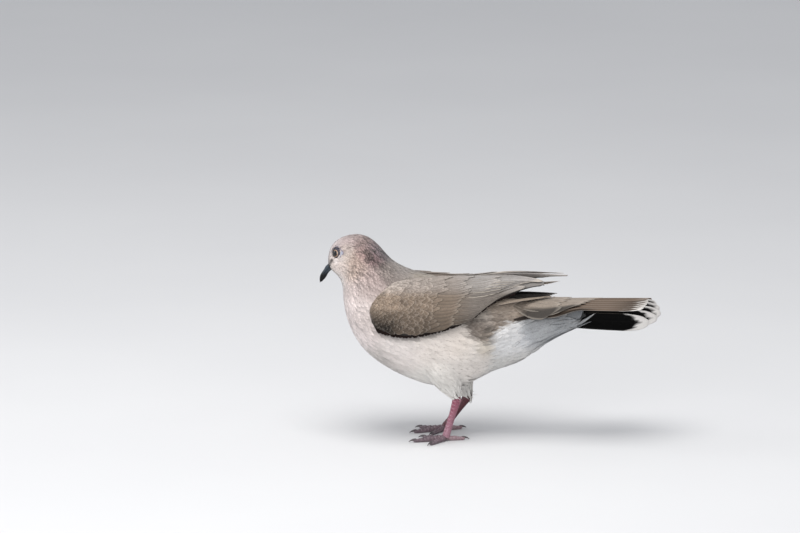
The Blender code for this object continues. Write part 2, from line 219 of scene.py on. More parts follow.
def trimOf(v, edge, shaft):
    # how strongly the pale edge and the dark shaft show at each point of the vanes
    return np.stack(np.broadcast_arrays(edge + 0 * v, shaft, 0.0), axis=-1)


# the bird's long axis, from the bill back to the tail coverts: x, z, and how far the head is turned there
axisRows = np.array([
    (-90.2, 127.5, 27), (-88.9, 128.5, 27), (-87, 130.4, 27), (-84, 132.3, 27), (-79.4, 133, 27),
    (-73.1, 132.2, 24), (-68.1, 129, 18), (-63.4, 122.6, 11), (-59, 114.3, 5), (-53.1, 105.9, 1),
    (-42.6, 97, 0), (-27, 89.2, 0), (-9, 81.7, 0), (9.5, 75.3, 0), (28, 73.9, 0), (46, 79, 0),
    (65.5, 82.9, 0), (83, 89.5, 0), (102.5, 93.8, 0)], float)
turnPivotX = -56.2
headTurn = 27


def turned(points, degrees):
    # the head's turn to the bird's right, about an upright line through the neck
    p = np.asarray(points, float).copy()
    a = np.radians(-np.asarray(degrees, float))
    x, y = p[..., 0] - turnPivotX, p[..., 1].copy()
    p[..., 0] = turnPivotX + x * np.cos(a) - y * np.sin(a)
    p[..., 1] = x * np.sin(a) + y * np.cos(a)
    return p


axisPoints = turned(np.stack([axisRows[:, 0], 0 * axisRows[:, 0], axisRows[:, 1]], axis=1), axisRows[:, 2])
axisAlong = unit(np.gradient(axisPoints, axis=0))


def axisWeights(points):
    # how near each point is to each row of the axis, measured mostly along it
    offset = points[:, None, :] - axisPoints[None]
    along = np.einsum("nrk,rk->nr", offset, axisAlong)
    far = np.linalg.norm(offset, axis=2)
    w = 1 / (along**2 + 0.3 * far**2 + 1) ** 2
    return w / w.sum(1, keepdims=True)


def bodyPlace(points):
    # how far along the body each point lies (0 to 1), and the point as if the head looked straight on
    w = axisWeights(points)
    share = w @ np.linspace(0, 1, len(axisRows))
    return share, turned(points, -(w @ axisRows[:, 2]))


legs = {
    "left": dict(hub=(0, -16), ankle=(8.7, -16.5, 33), knee=(-6, -19, 62), heading=14, outwards=-1),
    "right": dict(hub=(-0.5, 16.5), ankle=(17, 15.5, 27), knee=(4, 18, 60), heading=-21, outwards=1),
}


def nearLeg(points):
    # 1 on the feathered shanks, 0 on the body
    best = np.zeros(len(points))
    down = np.zeros((len(points), 3))
    for leg in legs.values():
        top, end = np.array(leg["knee"], float), np.array(leg["ankle"], float)
        line = end - top
        t = np.clip((points - top) @ line / (line @ line), 0, 1.1)
        away = np.linalg.norm(points - (top + t[:, None] * line), axis=1)
        w = (1 - ease(7, 13, away)) * (1 - ease(48, 62, points[:, 2]))
        down[w > best] = unit(line)
        best = np.maximum(best, w)
    return best, down


def featherFlow(points):
    # the lie of the coat: fanning from the bill, down the neck, back along the body, down the shanks
    w = axisWeights(points)
    share = w @ np.linspace(0, 1, len(axisRows))
    flow = unit(w @ axisAlong)
    fan = unit(points - turned([-93.0, 0, 128.0], headTurn))
    face = (1 - ease(0.16, 0.36, share))[:, None]
    flow = unit(fan * face + flow * (1 - face))
    low = ease(0.5, 0.7, share) * (1 - ease(60, 90, points[:, 2]))
    flow = unit(flow + np.array([0, 0, -0.25]) * low[:, None] * (1 - ease(0.72, 0.85, share))[:, None])
    leg, down = nearLeg(points)
    return unit(flow * (1 - leg)[:, None] + down * leg[:, None])


# colours of the plumage: soft areas on the bird looking straight on, each with its middle (x, |y|, z),
# how far it reaches, and its colour
plumageAreas = {
    "forehead": ((-84, 4, 146), 6, (192, 180, 179)), "foreface": ((-89, 3, 138), 5, (206, 197, 195)),
    "crown": ((-76, 4, 151), 7, (174, 158, 156)), "hindcrown": ((-68, 4, 153), 6, (160, 143, 140)),
    "occiput": ((-60, 6, 149), 6, (122, 105, 102)), "nape": ((-53, 5, 146), 6, (112, 98, 101)),
    "hindneck": ((-47, 5, 142), 6, (82, 74, 78)), "purpleNeck": ((-50, 12, 138), 6.5, (98, 77, 79)),
    "purpleSide": ((-58, 12, 142), 5.5, (147, 124, 120)), "temple": ((-73, 10, 143), 5, (176, 160, 154)),
    "underEye": ((-80, 9.6, 133.6), 2.2, (224, 218, 218)),
    "behindEye": ((-75.5, 10.3, 136.5), 2.2, (218, 211, 210)),
    "ear": ((-73, 11, 139), 6, (198, 185, 176)), "cheek": ((-79, 10, 132), 7, (220, 206, 199)),
    "jaw": ((-72, 12.5, 129), 6, (212, 195, 186)), "earBack": ((-66, 14, 136), 6, (167, 147, 136)),
    "neckSpots": ((-66, 17, 127), 6, (164, 145, 133)), "neckSpotsBack": ((-60, 18, 131), 6, (152, 134, 125)),
    "neckSide": ((-54, 19.5, 127), 7, (167, 149, 145)), "chin": ((-84, 6, 123), 6, (226, 216, 210)),
    "throat": ((-78, 8, 117), 7, (224, 217, 213)), "lowerNeck": ((-68, 19, 116), 9, (193, 179, 175)),
    "neckBase": ((-57, 22, 120), 8, (170, 155, 151)), "shoulder": ((-42, 13, 130), 8, (128, 118, 113)),
    "breast": ((-69, 20, 101), 12, (218, 205, 202)), "breastFront": ((-76, 4, 95), 13, (216, 204, 201)),
    "breastSide": ((-58, 28, 94), 11, (191, 180, 176)), "lowBreast": ((-62, 20, 82), 12, (220, 209, 207)),
    "bellyFront": ((-45, 12, 64), 14, (170, 164, 160)), "belly": ((-32, 29, 70), 14, (219, 211, 207)),
    "bellySide": ((-10, 32, 74), 14, (218, 209, 202)), "bellyLow": ((-5, 20, 48), 18, (208, 205, 200)),
    "bellyBack": ((15, 26, 58), 14, (209, 202, 196)), "flankFront": ((8, 30, 76), 9, (216, 206, 197)),
    "flankPatch": ((26, 28, 89.5), 7.5, (104, 95, 88)), "flankLow": ((30, 27, 84.5), 5, (124, 114, 104)),
    "flankUnder": ((29, 28, 72), 5, (190, 181, 169)),
    "flankTop": ((27, 25, 98), 5, (190, 179, 168)), "tailSide": ((66, 11, 98), 7, (146, 134, 122)),
    # painted light and shade: the upper rump side is painted paler, against the shadow of the folded wing,
    # and the lower rump side darker, as painted shade beside the rump's shadow line
    "rumpSide": ((42, 16, 104), 8, (188, 172, 157)), "rumpLow": ((42, 19, 94.5), 6.5, (116, 106, 97)),
    "rump": ((50, 6, 108), 12, (172, 156, 141)),
    "rumpBack": ((70, 5, 104), 9, (176, 163, 151)), "ventSide": ((43, 23, 86), 7.5, (205, 204, 204)),
    "vent": ((48, 19, 74), 10, (206, 206, 207)), "ventLow": ((45, 8, 55), 14, (193, 192, 189)),
    # painted shade: the next areas grey the white under the tail, where the tail and its coverts shade it
    "undertail": ((68, 13, 89), 9, (166, 168, 170)), "undertailBack": ((90, 6, 80), 10, (150, 153, 156)),
    "ventPaintedShade": ((59, 15, 79), 6, (166, 169, 174)),
    "tailCover": ((95, 4, 104), 10, (176, 160, 146)), "shank": ((5, 20, 34), 10, (230, 228, 224)),
    "mantle": ((-32, 6, 131), 9, (140, 132, 127)), "back": ((-10, 6, 125), 14, (146, 136, 125)),
    "lowBack": ((18, 6, 115), 14, (146, 133, 119)),
}
# the areas that stay on their own side of the line where the brown of the rump meets the white
brownRear = ("rumpSide", "rumpLow", "rump", "rumpBack", "tailSide", "flankTop", "tailCover")
whiteRear = ("ventSide", "vent", "ventLow", "undertail", "undertailBack")
# that line, and the wing's lower edge, as heights along the body
rumpEdge = ([28, 33, 38, 46, 55, 69, 82, 96, 110], [79, 82.5, 86.6, 91, 93.6, 94.6, 96.4, 99.2, 101.5])
wingEdge = ([-56, -52, -47, -38, -24, -6, 10, 22, 35], [99, 94, 88.8, 86.8, 86.4, 90, 94.6, 99.8, 109.6])
# the dark bare line from the corner of the bill to the front of the eye
loralLine = dict(start=(-89.4, 4.6, 128.2), end=(-84.3, 8.9, 134.2), width=1.4, strength=0.97,
                 colour=(40, 28, 30))


def plumageColour(points):
    _, straight = bodyPlace(points)
    straight[:, 1] = np.abs(straight[:, 1])
    x, y, z = straight.T
    rumpHeight = z - np.interp(x, *rumpEdge)
    above = ease(-1.0, 1.0, rumpHeight)
    above = above * ease(28, 36, x) + 0.5 * (1 - ease(28, 36, x))
    total, colour = np.full(len(points), 1e-9), np.zeros((len(points), 3))
    for name, (place, reach, shade) in plumageAreas.items():
        away = ((straight - np.array(place)) ** 2).sum(1) / reach**2
        w = np.exp(-1.3 * away) + 1e-6 / (1 + away)
        w = w * (2 * above if name in brownRear else 2 - 2 * above if name in whiteRear else 1)
        total += w
        colour += w[:, None] * paint(*shade)
    colour = colour / total[:, None]
    # painted shadow: darker under the wing's lower edge, where the wing shades the body, and a dark painted
    # shadow line along the seam where the brown of the rump ends over the white
    below = np.interp(x, *wingEdge) - 1.5 - z
    wingShadow = (1 - ease(2.0, 6.5, below)) * (1 - ease(-10, 16, x)) * ease(-54, -47, x)
    wingShadow = 0.62 * wingShadow * ease(16, 24, y) * ease(-5, -2, below)
    seam = np.exp(-(((rumpHeight - 0.4) / 1.4) ** 2)) * ease(46, 56, x)
    colour = colour * ((1 - wingShadow) * (1 - 0.8 * seam))[:, None]
    start, span = np.array(loralLine["start"]), np.array(loralLine["end"]) - np.array(loralLine["start"])
    t = np.clip((straight - start) @ span / (span @ span), 0, 1)
    away = np.linalg.norm(straight - (start + t[:, None] * span), axis=1)
    line = loralLine["strength"] * np.exp(-((away / loralLine["width"]) ** 4))[:, None]
    return colour * (1 - line) + paint(*loralLine["colour"]) * line


unwrap = dict(margin=0.02, length=0.96, round=0.92)


def bakePlace(points):
    # where each point lies on the unwrap of the skin: along the body, and round it
    share, straight = bodyPlace(points)
    row = share * (len(axisRows) - 1)
    centreZ = np.interp(row, np.arange(len(axisRows)), axisRows[:, 1])
    angle = np.arctan2(straight[:, 1], straight[:, 2] - centreZ + 1e-6)
    return unwrap["margin"] + np.stack([unwrap["length"] * share,
                                        unwrap["round"] * (angle / (2 * math.pi) + 0.5)], axis=1)


print("skin")
skinWants = dict(voxel=1.15, swell=0.35, passes=14, faceDepth=0.55, bodyDepth=0.7, legThinner=0.35,
                 shade=0.92)
flesh = ["head", "neck", "trunk", "shank_left", "shank_right"]
skinPoints, skinQuads = remeshed(flesh, skinWants["voxel"], skinWants["swell"], skinWants["passes"])
skinNormals = vertexNormals(skinPoints, skinQuads)
skinShare, _ = bodyPlace(skinPoints)
skinLeg, _ = nearLeg(skinPoints)
bodyward = ease(0.3, 0.55, skinShare)
skinDepth = skinWants["faceDepth"] + (skinWants["bodyDepth"] - skinWants["faceDepth"]) * bodyward
skinDepth = skinDepth * (1 - skinWants["legThinner"] * skinLeg) + skinWants["swell"]
skinPoints = skinPoints - skinNormals * skinDepth[:, None]
skinNormals = vertexNormals(skinPoints, skinQuads)
skinTriangles = np.concatenate([skinQuads[:, [0, 1, 2]], skinQuads[:, [0, 2, 3]]])
skinTree = BVHTree.FromPolygons([tuple(p) for p in skinPoints], skinTriangles.tolist())
skinTriangleNormals = unit(skinNormals[skinTriangles].sum(1))


# feathers: each one is a thin vane over a centre line that follows the surface below it
def walkSkin(roots, flow, lengths, steps, leave):
    # centre lines that follow the skin, and run straight on where the skin ends
    n = len(roots)
    points, normals = np.zeros((n, steps, 3)), np.zeros((n, steps, 3))
    place, ahead = roots.copy(), flow.copy()
    facing = np.zeros((n, 3))
    for k in range(steps):
        for i in range(n):
            near, _, index, away = skinTree.find_nearest(Vector(place[i]))
            if away < leave[i] or k == 0:
                place[i] = near
                facing[i] = skinTriangleNormals[index]
        points[:, k], normals[:, k] = place, facing
        wanted = featherFlow(place)
        ahead = unit(0.75 * ahead + 0.25 * wanted)
        ahead = unit(ahead - facing * (ahead * facing).sum(1, keepdims=True))
        place = place + ahead * (lengths / (steps - 1))[:, None]
    return points, normals


plainVane = dict(rows=20, columns=9, ragged=0.01, round=0.12, along=[0, 0.2, 0.5, 0.8, 1],
                 wide=[0.4, 0.85, 1, 0.7, 0.15], low=0.2, depth=1.0, camber=0.12, rise=1.0, tilt=0.0)
vaneUneven = dict(teeth=0.9, width=0.08, lift=0.05)


def vanes(points, normals, widths, want, spread=0.0):
    # grids of vertices for many feathers at once: rows along the shaft, columns across the vane
    n, steps, _ = points.shape
    rows, columns = want["rows"], want["columns"]
    v = np.linspace(0, 1, rows)[None, :, None]
    a = np.linspace(-1, 1, columns)[None, None, :]
    ragged = rng.random((n, 1, columns)) * want["ragged"]
    teeth = want["ragged"] * vaneUneven["teeth"] * (np.arange(columns) % 2)[None, None, :]
    along = v * (1 - want["round"] * np.abs(a) ** 2.2 - ragged - teeth) * (steps - 1)
    i = np.clip(np.floor(along).astype(int), 0, steps - 2)
    t = (along - i)[..., None]
    who = np.arange(n)[:, None, None]
    centre = points[who, i] * (1 - t) + points[who, i + 1] * t
    normal = unit(normals[who, i] * (1 - t) + normals[who, i + 1] * t)
    ahead = unit(np.gradient(points, axis=1))
    ahead = ahead[who, i] * (1 - t) + ahead[who, i + 1] * t
    side = unit(np.cross(normal, ahead))
    swell = np.interp(v[0, :, 0], want["along"], want["wide"])[None, :, None]
    half = (widths / 2)[:, None, None]
    reach = a * swell * (1 + vaneUneven["width"] * (rng.random((n, rows, 1)) - 0.5)) * half
    jitter = vaneUneven["lift"] * want["depth"] * (rng.random((n, 1, 1)) - 0.5)
    lift = want["low"] + jitter + (want["depth"] - want["low"]) * (1 - (1 - v) ** want["rise"])
    lift = lift - want["camber"] * half * a**2 + want["tilt"] * a * swell + np.reshape(spread, (-1, 1, 1))
    grid = centre + side * reach[..., None] + normal * lift[..., None]
    return grid, np.broadcast_to(v, (n, rows, columns)), np.broadcast_to(a, (n, rows, columns)), normal


patchSize = 0.003  # of one feather on the unwrap


def vanePiece(name, vane, material, colour, trim, bakeRoots, thick=0.0, under=None, underTrim=0.15,
              stands=()):
    # one joined mesh of many feathers; thick ones get an underside and a rim
    grid, v, a, normal = vane
    n, rows, columns, _ = grid.shape
    size = rows * columns
    patch = np.stack([a / 2 + 0.5, v], axis=-1)
    bake = bakeRoots[:, None, None, :] + (patch - 0.5) * patchSize
    start = (np.arange(n) * size)[:, None, None]
    faces = (gridFaces(rows, columns)[None] + start).reshape(-1, 4)
    points, uv, bake = grid.reshape(-1, 3), patch.reshape(-1, 2), bake.reshape(-1, 2)
    colour, trim = colour.reshape(-1, 3), trim.reshape(-1, 3)
    if thick:
        below = (grid - normal * thick).reshape(-1, 3)
        rim = (rimFaces(rows, columns, n * size)[None] + start).reshape(-1, 4)
        points = np.concatenate([points, below])
        faces = np.concatenate([faces, faces[:, ::-1] + n * size, rim])
        uv, bake = np.concatenate([uv, uv]), np.concatenate([bake, bake])
        colour = np.concatenate([colour, colour if under is None else under.reshape(-1, 3)])
        trim = np.concatenate([trim, trim * (1 if under is None else underTrim)])
    makePiece(name, points, faces, material, vane=uv, bake=bake, colour=colour, trim=trim,
              stands=stands)


# materials: nodes are added with their settings, and each socket gets a number or another node's output

def fillSockets(tree, node, wants):
    for socket, value in wants.items():
        if isinstance(value, bpy.types.NodeSocket):
            tree.links.new(value, node.inputs[socket])
        else:
            node.inputs[socket].default_value = value


def addNode(tree, kind, wants, **settings):
    node = tree.nodes.new("ShaderNode" + kind)
    for key, value in settings.items():
        setattr(node, key, value)
    fillSockets(tree, node, wants)
    return node


def newMaterial(name):
    material = bpy.data.materials.new(name)
    material.use_nodes = True
    return material, material.node_tree, material.node_tree.nodes["Principled BSDF"]


def groupTree(name, inputs, outputs):
    # a node group with numbers going in and masks coming out
    tree = bpy.data.node_groups.new(name, "ShaderNodeTree")
    for socket, value in inputs.items():
        tree.interface.new_socket(socket, in_out="INPUT", socket_type="NodeSocketFloat").default_value = value
    for socket in outputs:
        tree.interface.new_socket(socket, in_out="OUTPUT", socket_type="NodeSocketFloat")
    return tree, tree.nodes.new("NodeGroupInput").outputs, tree.nodes.new("NodeGroupOutput")


def mathNode(tree, operation, *values):
    return addNode(tree, "Math", dict(enumerate(values)), operation=operation).outputs[0]


def smoothMask(tree, value, low, high):
    return addNode(tree, "MapRange", {"Value": value, "From Min": low, "From Max": high},
                   interpolation_type="SMOOTHSTEP").outputs["Result"]


def mixColour(tree, factor, a, b, blend="MIX"):
    a, b = ((*c, 1) if isinstance(c, tuple) else c for c in (a, b))
    return addNode(tree, "Mix", {0: factor, 6: a, 7: b}, data_type="RGBA", blend_type=blend).outputs[2]


def colourLayer(tree, name):
    return addNode(tree, "VertexColor", {}, layer_name=name).outputs["Color"]


def objectPlace(tree):
    return addNode(tree, "TexCoord", {}).outputs["Object"]


def bumped(tree, height, strength, distance):
    return addNode(tree, "Bump", {"Height": height, "Strength": strength, "Distance": distance}).outputs[0]


def makeVanePattern():
    # barbs, shaft and edge of a feather from its own lengthways and crossways places
    tree, given, out = groupTree("vanePattern", {"Barbs": 30.0, "Slant": 0.4, "Edge Width": 0.16},
                                 ("Barb", "Shaft", "Edge", "Height"))

    def calc(operation, *values):
        return mathNode(tree, operation, *values)

    uv = addNode(tree, "UVMap", {}, uv_map="vane").outputs[0]
    split = addNode(tree, "SeparateXYZ", {0: uv})
    u, v = split.outputs[0], split.outputs[1]
    across = calc("ABSOLUTE", calc("MULTIPLY_ADD", u, 2.0, -1.0))
    noise = addNode(tree, "TexNoise", {"Vector": uv, "Scale": 9})
    waver = calc("MULTIPLY", noise.outputs["Fac"], 0.05)
    place = calc("ADD", calc("SUBTRACT", v, calc("MULTIPLY", across, given["Slant"])), waver)
    turn = calc("MULTIPLY", calc("MULTIPLY", place, given["Barbs"]), 6.2832)  # a full turn for each barb
    barb = calc("MULTIPLY_ADD", calc("SINE", turn), 0.5, 0.5)
    shaft = calc("SUBTRACT", 1.0, smoothMask(tree, across, 0.03, 0.1))
    room = calc("SUBTRACT", 1.0, given["Edge Width"])
    outermost = calc("MAXIMUM", calc("SUBTRACT", across, room), calc("SUBTRACT", v, room))
    edge = smoothMask(tree, outermost, -0.03, 0.09)
    height = calc("ADD", calc("MULTIPLY", barb, 0.5), shaft)
    fillSockets(tree, out, {"Barb": barb, "Shaft": shaft, "Edge": edge, "Height": height})
    return tree


def makeMottle():
    # small uneven blotches that break up a plain colour: fine ones of half a millimetre, broad ones of three
    tree, given, out = groupTree("mottle", {"Scale": 1.0}, ("Fine", "Broad"))
    place = objectPlace(tree)
    for name, scale, low, high in (("Fine", 1500.0, 0.42, 0.7), ("Broad", 260.0, 0.4, 0.68)):
        size = mathNode(tree, "MULTIPLY", given["Scale"], scale)
        noise = addNode(tree, "TexNoise", {"Vector": place, "Scale": size, "Detail": 3})
        fillSockets(tree, out, {name: smoothMask(tree, noise.outputs["Fac"], low, high)})
    return tree


vanePattern = makeVanePattern()
mottle = makeMottle()
featherWants = dict(barbs=30.0, slant=0.4, edgeWidth=0.16, roughness=0.82, sheen=0.25, bump=0.35,
                    fringe=(0.62, 0.55, 0.48), streak=(0.06, 0.05, 0.05), barbShade=0.16, specks=0.16,
                    specular=0.25)


def featherMaterial(name, **changes):
    want = dict(featherWants, **changes)
    material, tree, shader = newMaterial(name)
    pattern = addNode(tree, "Group", {"Barbs": want["barbs"], "Slant": want["slant"],
                                      "Edge Width": want["edgeWidth"]}, node_tree=vanePattern).outputs
    blotch = addNode(tree, "Group", {"Scale": 1.0}, node_tree=mottle).outputs
    share = addNode(tree, "SeparateColor", {0: colourLayer(tree, "trim")}).outputs
    shaded = mixColour(tree, mathNode(tree, "MULTIPLY", pattern["Barb"], want["barbShade"]),
                       colourLayer(tree, "plumage"), (0.1, 0.09, 0.08), "MULTIPLY")
    speck = mathNode(tree, "MULTIPLY_ADD", blotch["Fine"], want["specks"], 0.0)
    speck = mathNode(tree, "MULTIPLY_ADD", blotch["Broad"], want["specks"] * 0.5, speck)
    shaded = mixColour(tree, speck, shaded, (0.22, 0.17, 0.14), "MULTIPLY")
    dark = mixColour(tree, mathNode(tree, "MULTIPLY", pattern["Shaft"], share[1]), shaded, want["streak"])
    pale = mixColour(tree, mathNode(tree, "MULTIPLY", pattern["Edge"], share[0]), dark, want["fringe"])
    rough = mathNode(tree, "MULTIPLY_ADD", pattern["Barb"], 0.1, want["roughness"] - 0.05)
    fillSockets(tree, shader, {
        "Base Color": pale, "Roughness": rough,
        "Normal": bumped(tree, pattern["Height"], want["bump"], 0.0002),
        "Sheen Weight": want["sheen"], "Sheen Roughness": 0.5, "Specular IOR Level": want["specular"]})
    return material


downMaterial = featherMaterial("softPlumage", barbs=16, edgeWidth=0.2, sheen=0.3, bump=0.2, barbShade=0.05,
                               specks=0.12)
covertMaterial = featherMaterial("wingPlumage", barbs=22, edgeWidth=0.14, sheen=0.12, specks=0.4,
                                 barbShade=0.25)
flightMaterial = featherMaterial("flightPlumage", barbs=90, slant=0.16, edgeWidth=0.11, sheen=0.08,
                                 roughness=0.65, fringe=(0.6, 0.53, 0.45), specks=0.25, barbShade=0.28)
darkFlightMaterial = featherMaterial("darkFlightPlumage", barbs=120, slant=0.14, edgeWidth=0.07, sheen=0.0,
                                     roughness=0.6, fringe=(0.5, 0.46, 0.42), specks=0.0, specular=0.05)
grainWants = dict(cells=False, scale=1400, detail=5, share=0.5, blend="MIX", bump=0.4, grainDepth=0.0001,
                  roughSpread=0.2, coat=0.0, coatRoughness=0.3, specular=0.5)


def grainMaterial(name, **changes):
    # a piece's own colours, broken up and roughened by one fine texture of grains or of cells
    want = dict(grainWants, **changes)
    material, tree, shader = newMaterial(name)
    place = {"Vector": objectPlace(tree), "Scale": want["scale"]}
    if want["cells"]:
        grain = addNode(tree, "TexVoronoi", place).outputs["Distance"]
    else:
        grain = addNode(tree, "TexNoise", dict(place, Detail=want["detail"])).outputs["Fac"]
    colour = mixColour(tree, mathNode(tree, "MULTIPLY", grain, want["share"]), colourLayer(tree, "plumage"),
                       want["tint"], want["blend"])
    rough = mathNode(tree, "MULTIPLY_ADD", grain, want["roughSpread"], want["smoothest"])
    fillSockets(tree, shader, {
        "Base Color": colour, "Roughness": rough,
        "Normal": bumped(tree, grain, want["bump"], want["grainDepth"]),
        "Coat Weight": want["coat"], "Coat Roughness": want["coatRoughness"],
        "Specular IOR Level": want["specular"]})
    return material


skinMaterial = grainMaterial("downSkin", scale=900, detail=4, share=0.25, tint=(0.12, 0.1, 0.09), bump=0.6,
                             grainDepth=0.0003, roughSpread=0.15, smoothest=0.8, coatRoughness=0.03)
skinUv = bakePlace(skinPoints)
loopUv = skinUv[skinQuads]
# faces that cross the seam of the unwrap all go to its far side
crossing = (loopUv[..., 1].max(1) - loopUv[..., 1].min(1)) > 0.5
fixed = loopUv[crossing]
fixed[..., 1] = np.where(fixed[..., 1] < 0.5, fixed[..., 1] + unwrap["round"], fixed[..., 1])
loopUv[crossing] = fixed
makePiece("skin", skinPoints, skinQuads, skinMaterial, loopBake=loopUv.reshape(-1, 2),
          colour=plumageColour(skinPoints) * skinWants["shade"], stands=flesh)


# the eye's place, used by the feathers of the face as well
eyeWants = dict(centre=(-80.2, 5.9, 139.6), radius=4.7, iris=2.9, forward=20, up=3, lid=4.15,
                bare=4.9, corner=7.8, cornerAngle=172, cornerWidth=0.36)


def eyeFrame(side):
    # centre, outward axis, forward and up directions of one eye, side -1 left and +1 right
    centre = turned([eyeWants["centre"][0], side * eyeWants["centre"][1], eyeWants["centre"][2]], headTurn)
    a, e = math.radians(eyeWants["forward"]), math.radians(eyeWants["up"])
    axis = np.array([-math.sin(a), side * math.cos(a), math.sin(e)])
    axis = unit(turned(np.array([turnPivotX, 0, 0]) + axis, headTurn) - np.array([turnPivotX, 0, 0]))
    up = unit(np.array([0, 0, 1.0]) - axis * axis[2])
    ahead = np.cross(up, axis) * (1 if side < 0 else -1)
    if ahead[0] > 0:
        ahead = -ahead
    return centre, axis, ahead, up


def bareReach(angle):
    # how far the bare skin reaches from the eye, by the angle from ahead: a drop with its point behind
    corner = np.radians(eyeWants["cornerAngle"])
    near = np.exp(-((np.angle(np.exp(1j * (angle - corner))) / eyeWants["cornerWidth"]) ** 2))
    return eyeWants["bare"] + (eyeWants["corner"] - eyeWants["bare"]) * near


def overEye(points, spare):
    # true where a point lies on an eye or its bare skin
    hit = np.zeros(len(points), bool)
    for side in (-1, 1):
        centre, axis, ahead, up = eyeFrame(side)
        offset = points - centre
        x, z, h = offset @ ahead, offset @ up, offset @ axis
        hit |= (h > -2) & (np.hypot(x, z) < bareReach(np.arctan2(z, x)) + spare)
    return hit


print("coat")
coatWants = dict(
    # sizes of a feather along the body, from the bill (0) to the tail coverts (1), in millimetres
    share=[0.0, 0.08, 0.18, 0.3, 0.38, 0.46, 0.56, 0.66, 0.78, 0.9, 1.0],
    length=[1.7, 1.9, 3.2, 4.4, 5.4, 7.4, 9.6, 11.5, 12.5, 14.0, 16.0],
    width=[0.9, 1.0, 1.6, 2.1, 2.7, 3.8, 4.9, 5.6, 6.0, 6.4, 7.0],
    spacing=[0.55, 0.6, 0.85, 1.1, 1.45, 2.0, 2.4, 2.7, 2.9, 3.1, 3.3],
    depth=[0.42, 0.46, 0.52, 0.56, 0.58, 0.54, 0.46, 0.44, 0.46, 0.6, 0.9],
    turn=9, samples=60000,
    # the shanks' feathers: how long on the left and on the right leg, how wide and how deep
    shank=dict(lengths=(8.5, 11.7), width=2.6, depth=1.7),
    # how much of its middle's colour a feather has all over, on the face and elsewhere
    ownOnFace=0.12, own=0.55,
    # how uneven, scaly and streaky its colours are
    unevenAt=[0.0, 0.18, 0.28, 0.38, 0.5, 0.62, 0.8, 1.0],
    uneven=[0.04, 0.07, 0.1, 0.1, 0.05, 0.03, 0.03, 0.05],
    scaly=[0.06, 0.14, 0.25, 0.25, 0.12, 0.03, 0.05, 0.16],
    streaky=[0.1, 0.2, 0.3, 0.22, 0.12, 0.1, 0.14, 0.2])
coatVane = dict(plainVane, rows=6, columns=15, ragged=0.085, round=0.46, along=[0, 0.2, 0.5, 0.75, 1],
                wide=[0.35, 0.8, 1, 0.96, 0.74], low=0.1, camber=0.03, rise=2.1)


def scatterRoots():
    # random places on the skin, thinned until none is nearer another than its spacing
    corners = skinPoints[skinTriangles]
    area = np.linalg.norm(np.cross(corners[:, 1] - corners[:, 0], corners[:, 2] - corners[:, 0]), axis=1) / 2
    share, _ = bodyPlace(corners.mean(1))
    weight = area / np.interp(share, coatWants["share"], coatWants["spacing"]) ** 2
    picked = rng.choice(len(area), coatWants["samples"], p=weight / weight.sum())
    r1, r2 = np.sqrt(rng.random(len(picked))), rng.random(len(picked))
    c = corners[picked]
    places = c[:, 0] * (1 - r1)[:, None] + c[:, 1] * (r1 * (1 - r2))[:, None] + c[:, 2] * (r1 * r2)[:, None]
    share, _ = bodyPlace(places)
    leg, _ = nearLeg(places)
    gaps = np.interp(share, coatWants["share"], coatWants["spacing"]) * (1 - 0.45 * leg)
    return places[thinned(places, gaps)]


roots = scatterRoots()
# none on the eyes, on the root of the bill, below the ankles, where the scales begin, or over the tail's root
keep = ~overEye(roots, -0.2)
for bare in [turned([-92.5, 0, 127.2], headTurn)] + [np.array(leg["ankle"]) for leg in legs.values()]:
    keep &= np.linalg.norm(roots - bare, axis=1) > 3.0
for fromX, fromZ in ((72, 98), (85, 88)):
    keep &= (roots[:, 0] <= fromX) | (roots[:, 2] <= fromZ)
roots = roots[keep]
share, straight = bodyPlace(roots)
legShare, _ = nearLeg(roots)


def bodySize(key, onShank):
    return np.interp(share, coatWants["share"], coatWants[key]) * (1 - legShare) + onShank * legShare


shank = coatWants["shank"]
lengths = bodySize("length", np.where(roots[:, 1] > 0, shank["lengths"][1], shank["lengths"][0]))
lengths = lengths * (0.88 + 0.24 * rng.random(len(roots)))
widths = bodySize("width", shank["width"]) * (0.9 + 0.2 * rng.random(len(roots)))
depths = bodySize("depth", shank["depth"])
flow = featherFlow(roots)
swing = np.radians(coatWants["turn"]) * rng.normal(size=len(roots))
_, _, index, _ = zip(*[skinTree.find_nearest(Vector(p)) for p in roots])
rootNormals = skinTriangleNormals[list(index)]
flow = unit(flow - rootNormals * (flow * rootNormals).sum(1, keepdims=True))
flow = flow * np.cos(swing)[:, None] + np.cross(rootNormals, flow) * np.sin(swing)[:, None]
lines, lineNormals = walkSkin(roots, flow, lengths, 5, 1.6 - 1.2 * legShare)


unwrapSpan = (200, 110)  # about how many millimetres the unwrap stands for, along and round the body


def patchy(place, along, around, seed):
    # soft random blotches from 0 to 1, each about so many millimetres along and round the body
    u, w = place[:, 0] * unwrapSpan[0] / along, place[:, 1] * unwrapSpan[1] / around
    cells = int(unwrapSpan[0] / along) + 2, int(unwrapSpan[1] / around) + 2
    lattice = np.random.default_rng(seed).random(cells)
    i, j = np.floor(u).astype(int), np.floor(w).astype(int)
    a, b = ease(0, 1, u - i), ease(0, 1, w - j)
    return ((lattice[i, j] * (1 - b) + lattice[i, j + 1] * b) * (1 - a)
            + (lattice[i + 1, j] * (1 - b) + lattice[i + 1, j + 1] * b) * a)


# dark scaly centres on the nape and the side of the neck, and fine dark bars on the flank: how strong, where,
# and how far they reach
speckleSpots = {
    "nape": [(1, (-58, 6, 148), (11, 11, 7)), (1, (-48, 6, 142), (7, 9, 6)), (1, (-66, 17, 127), (7, 8, 6)),
             (0.4, (-44, 13, 131), (6, 7, 5)), (0.8, (-56, 15, 136), (9, 9, 9))],
    "flank": [(1, (24, 28, 87), (13, 12, 12))],
}


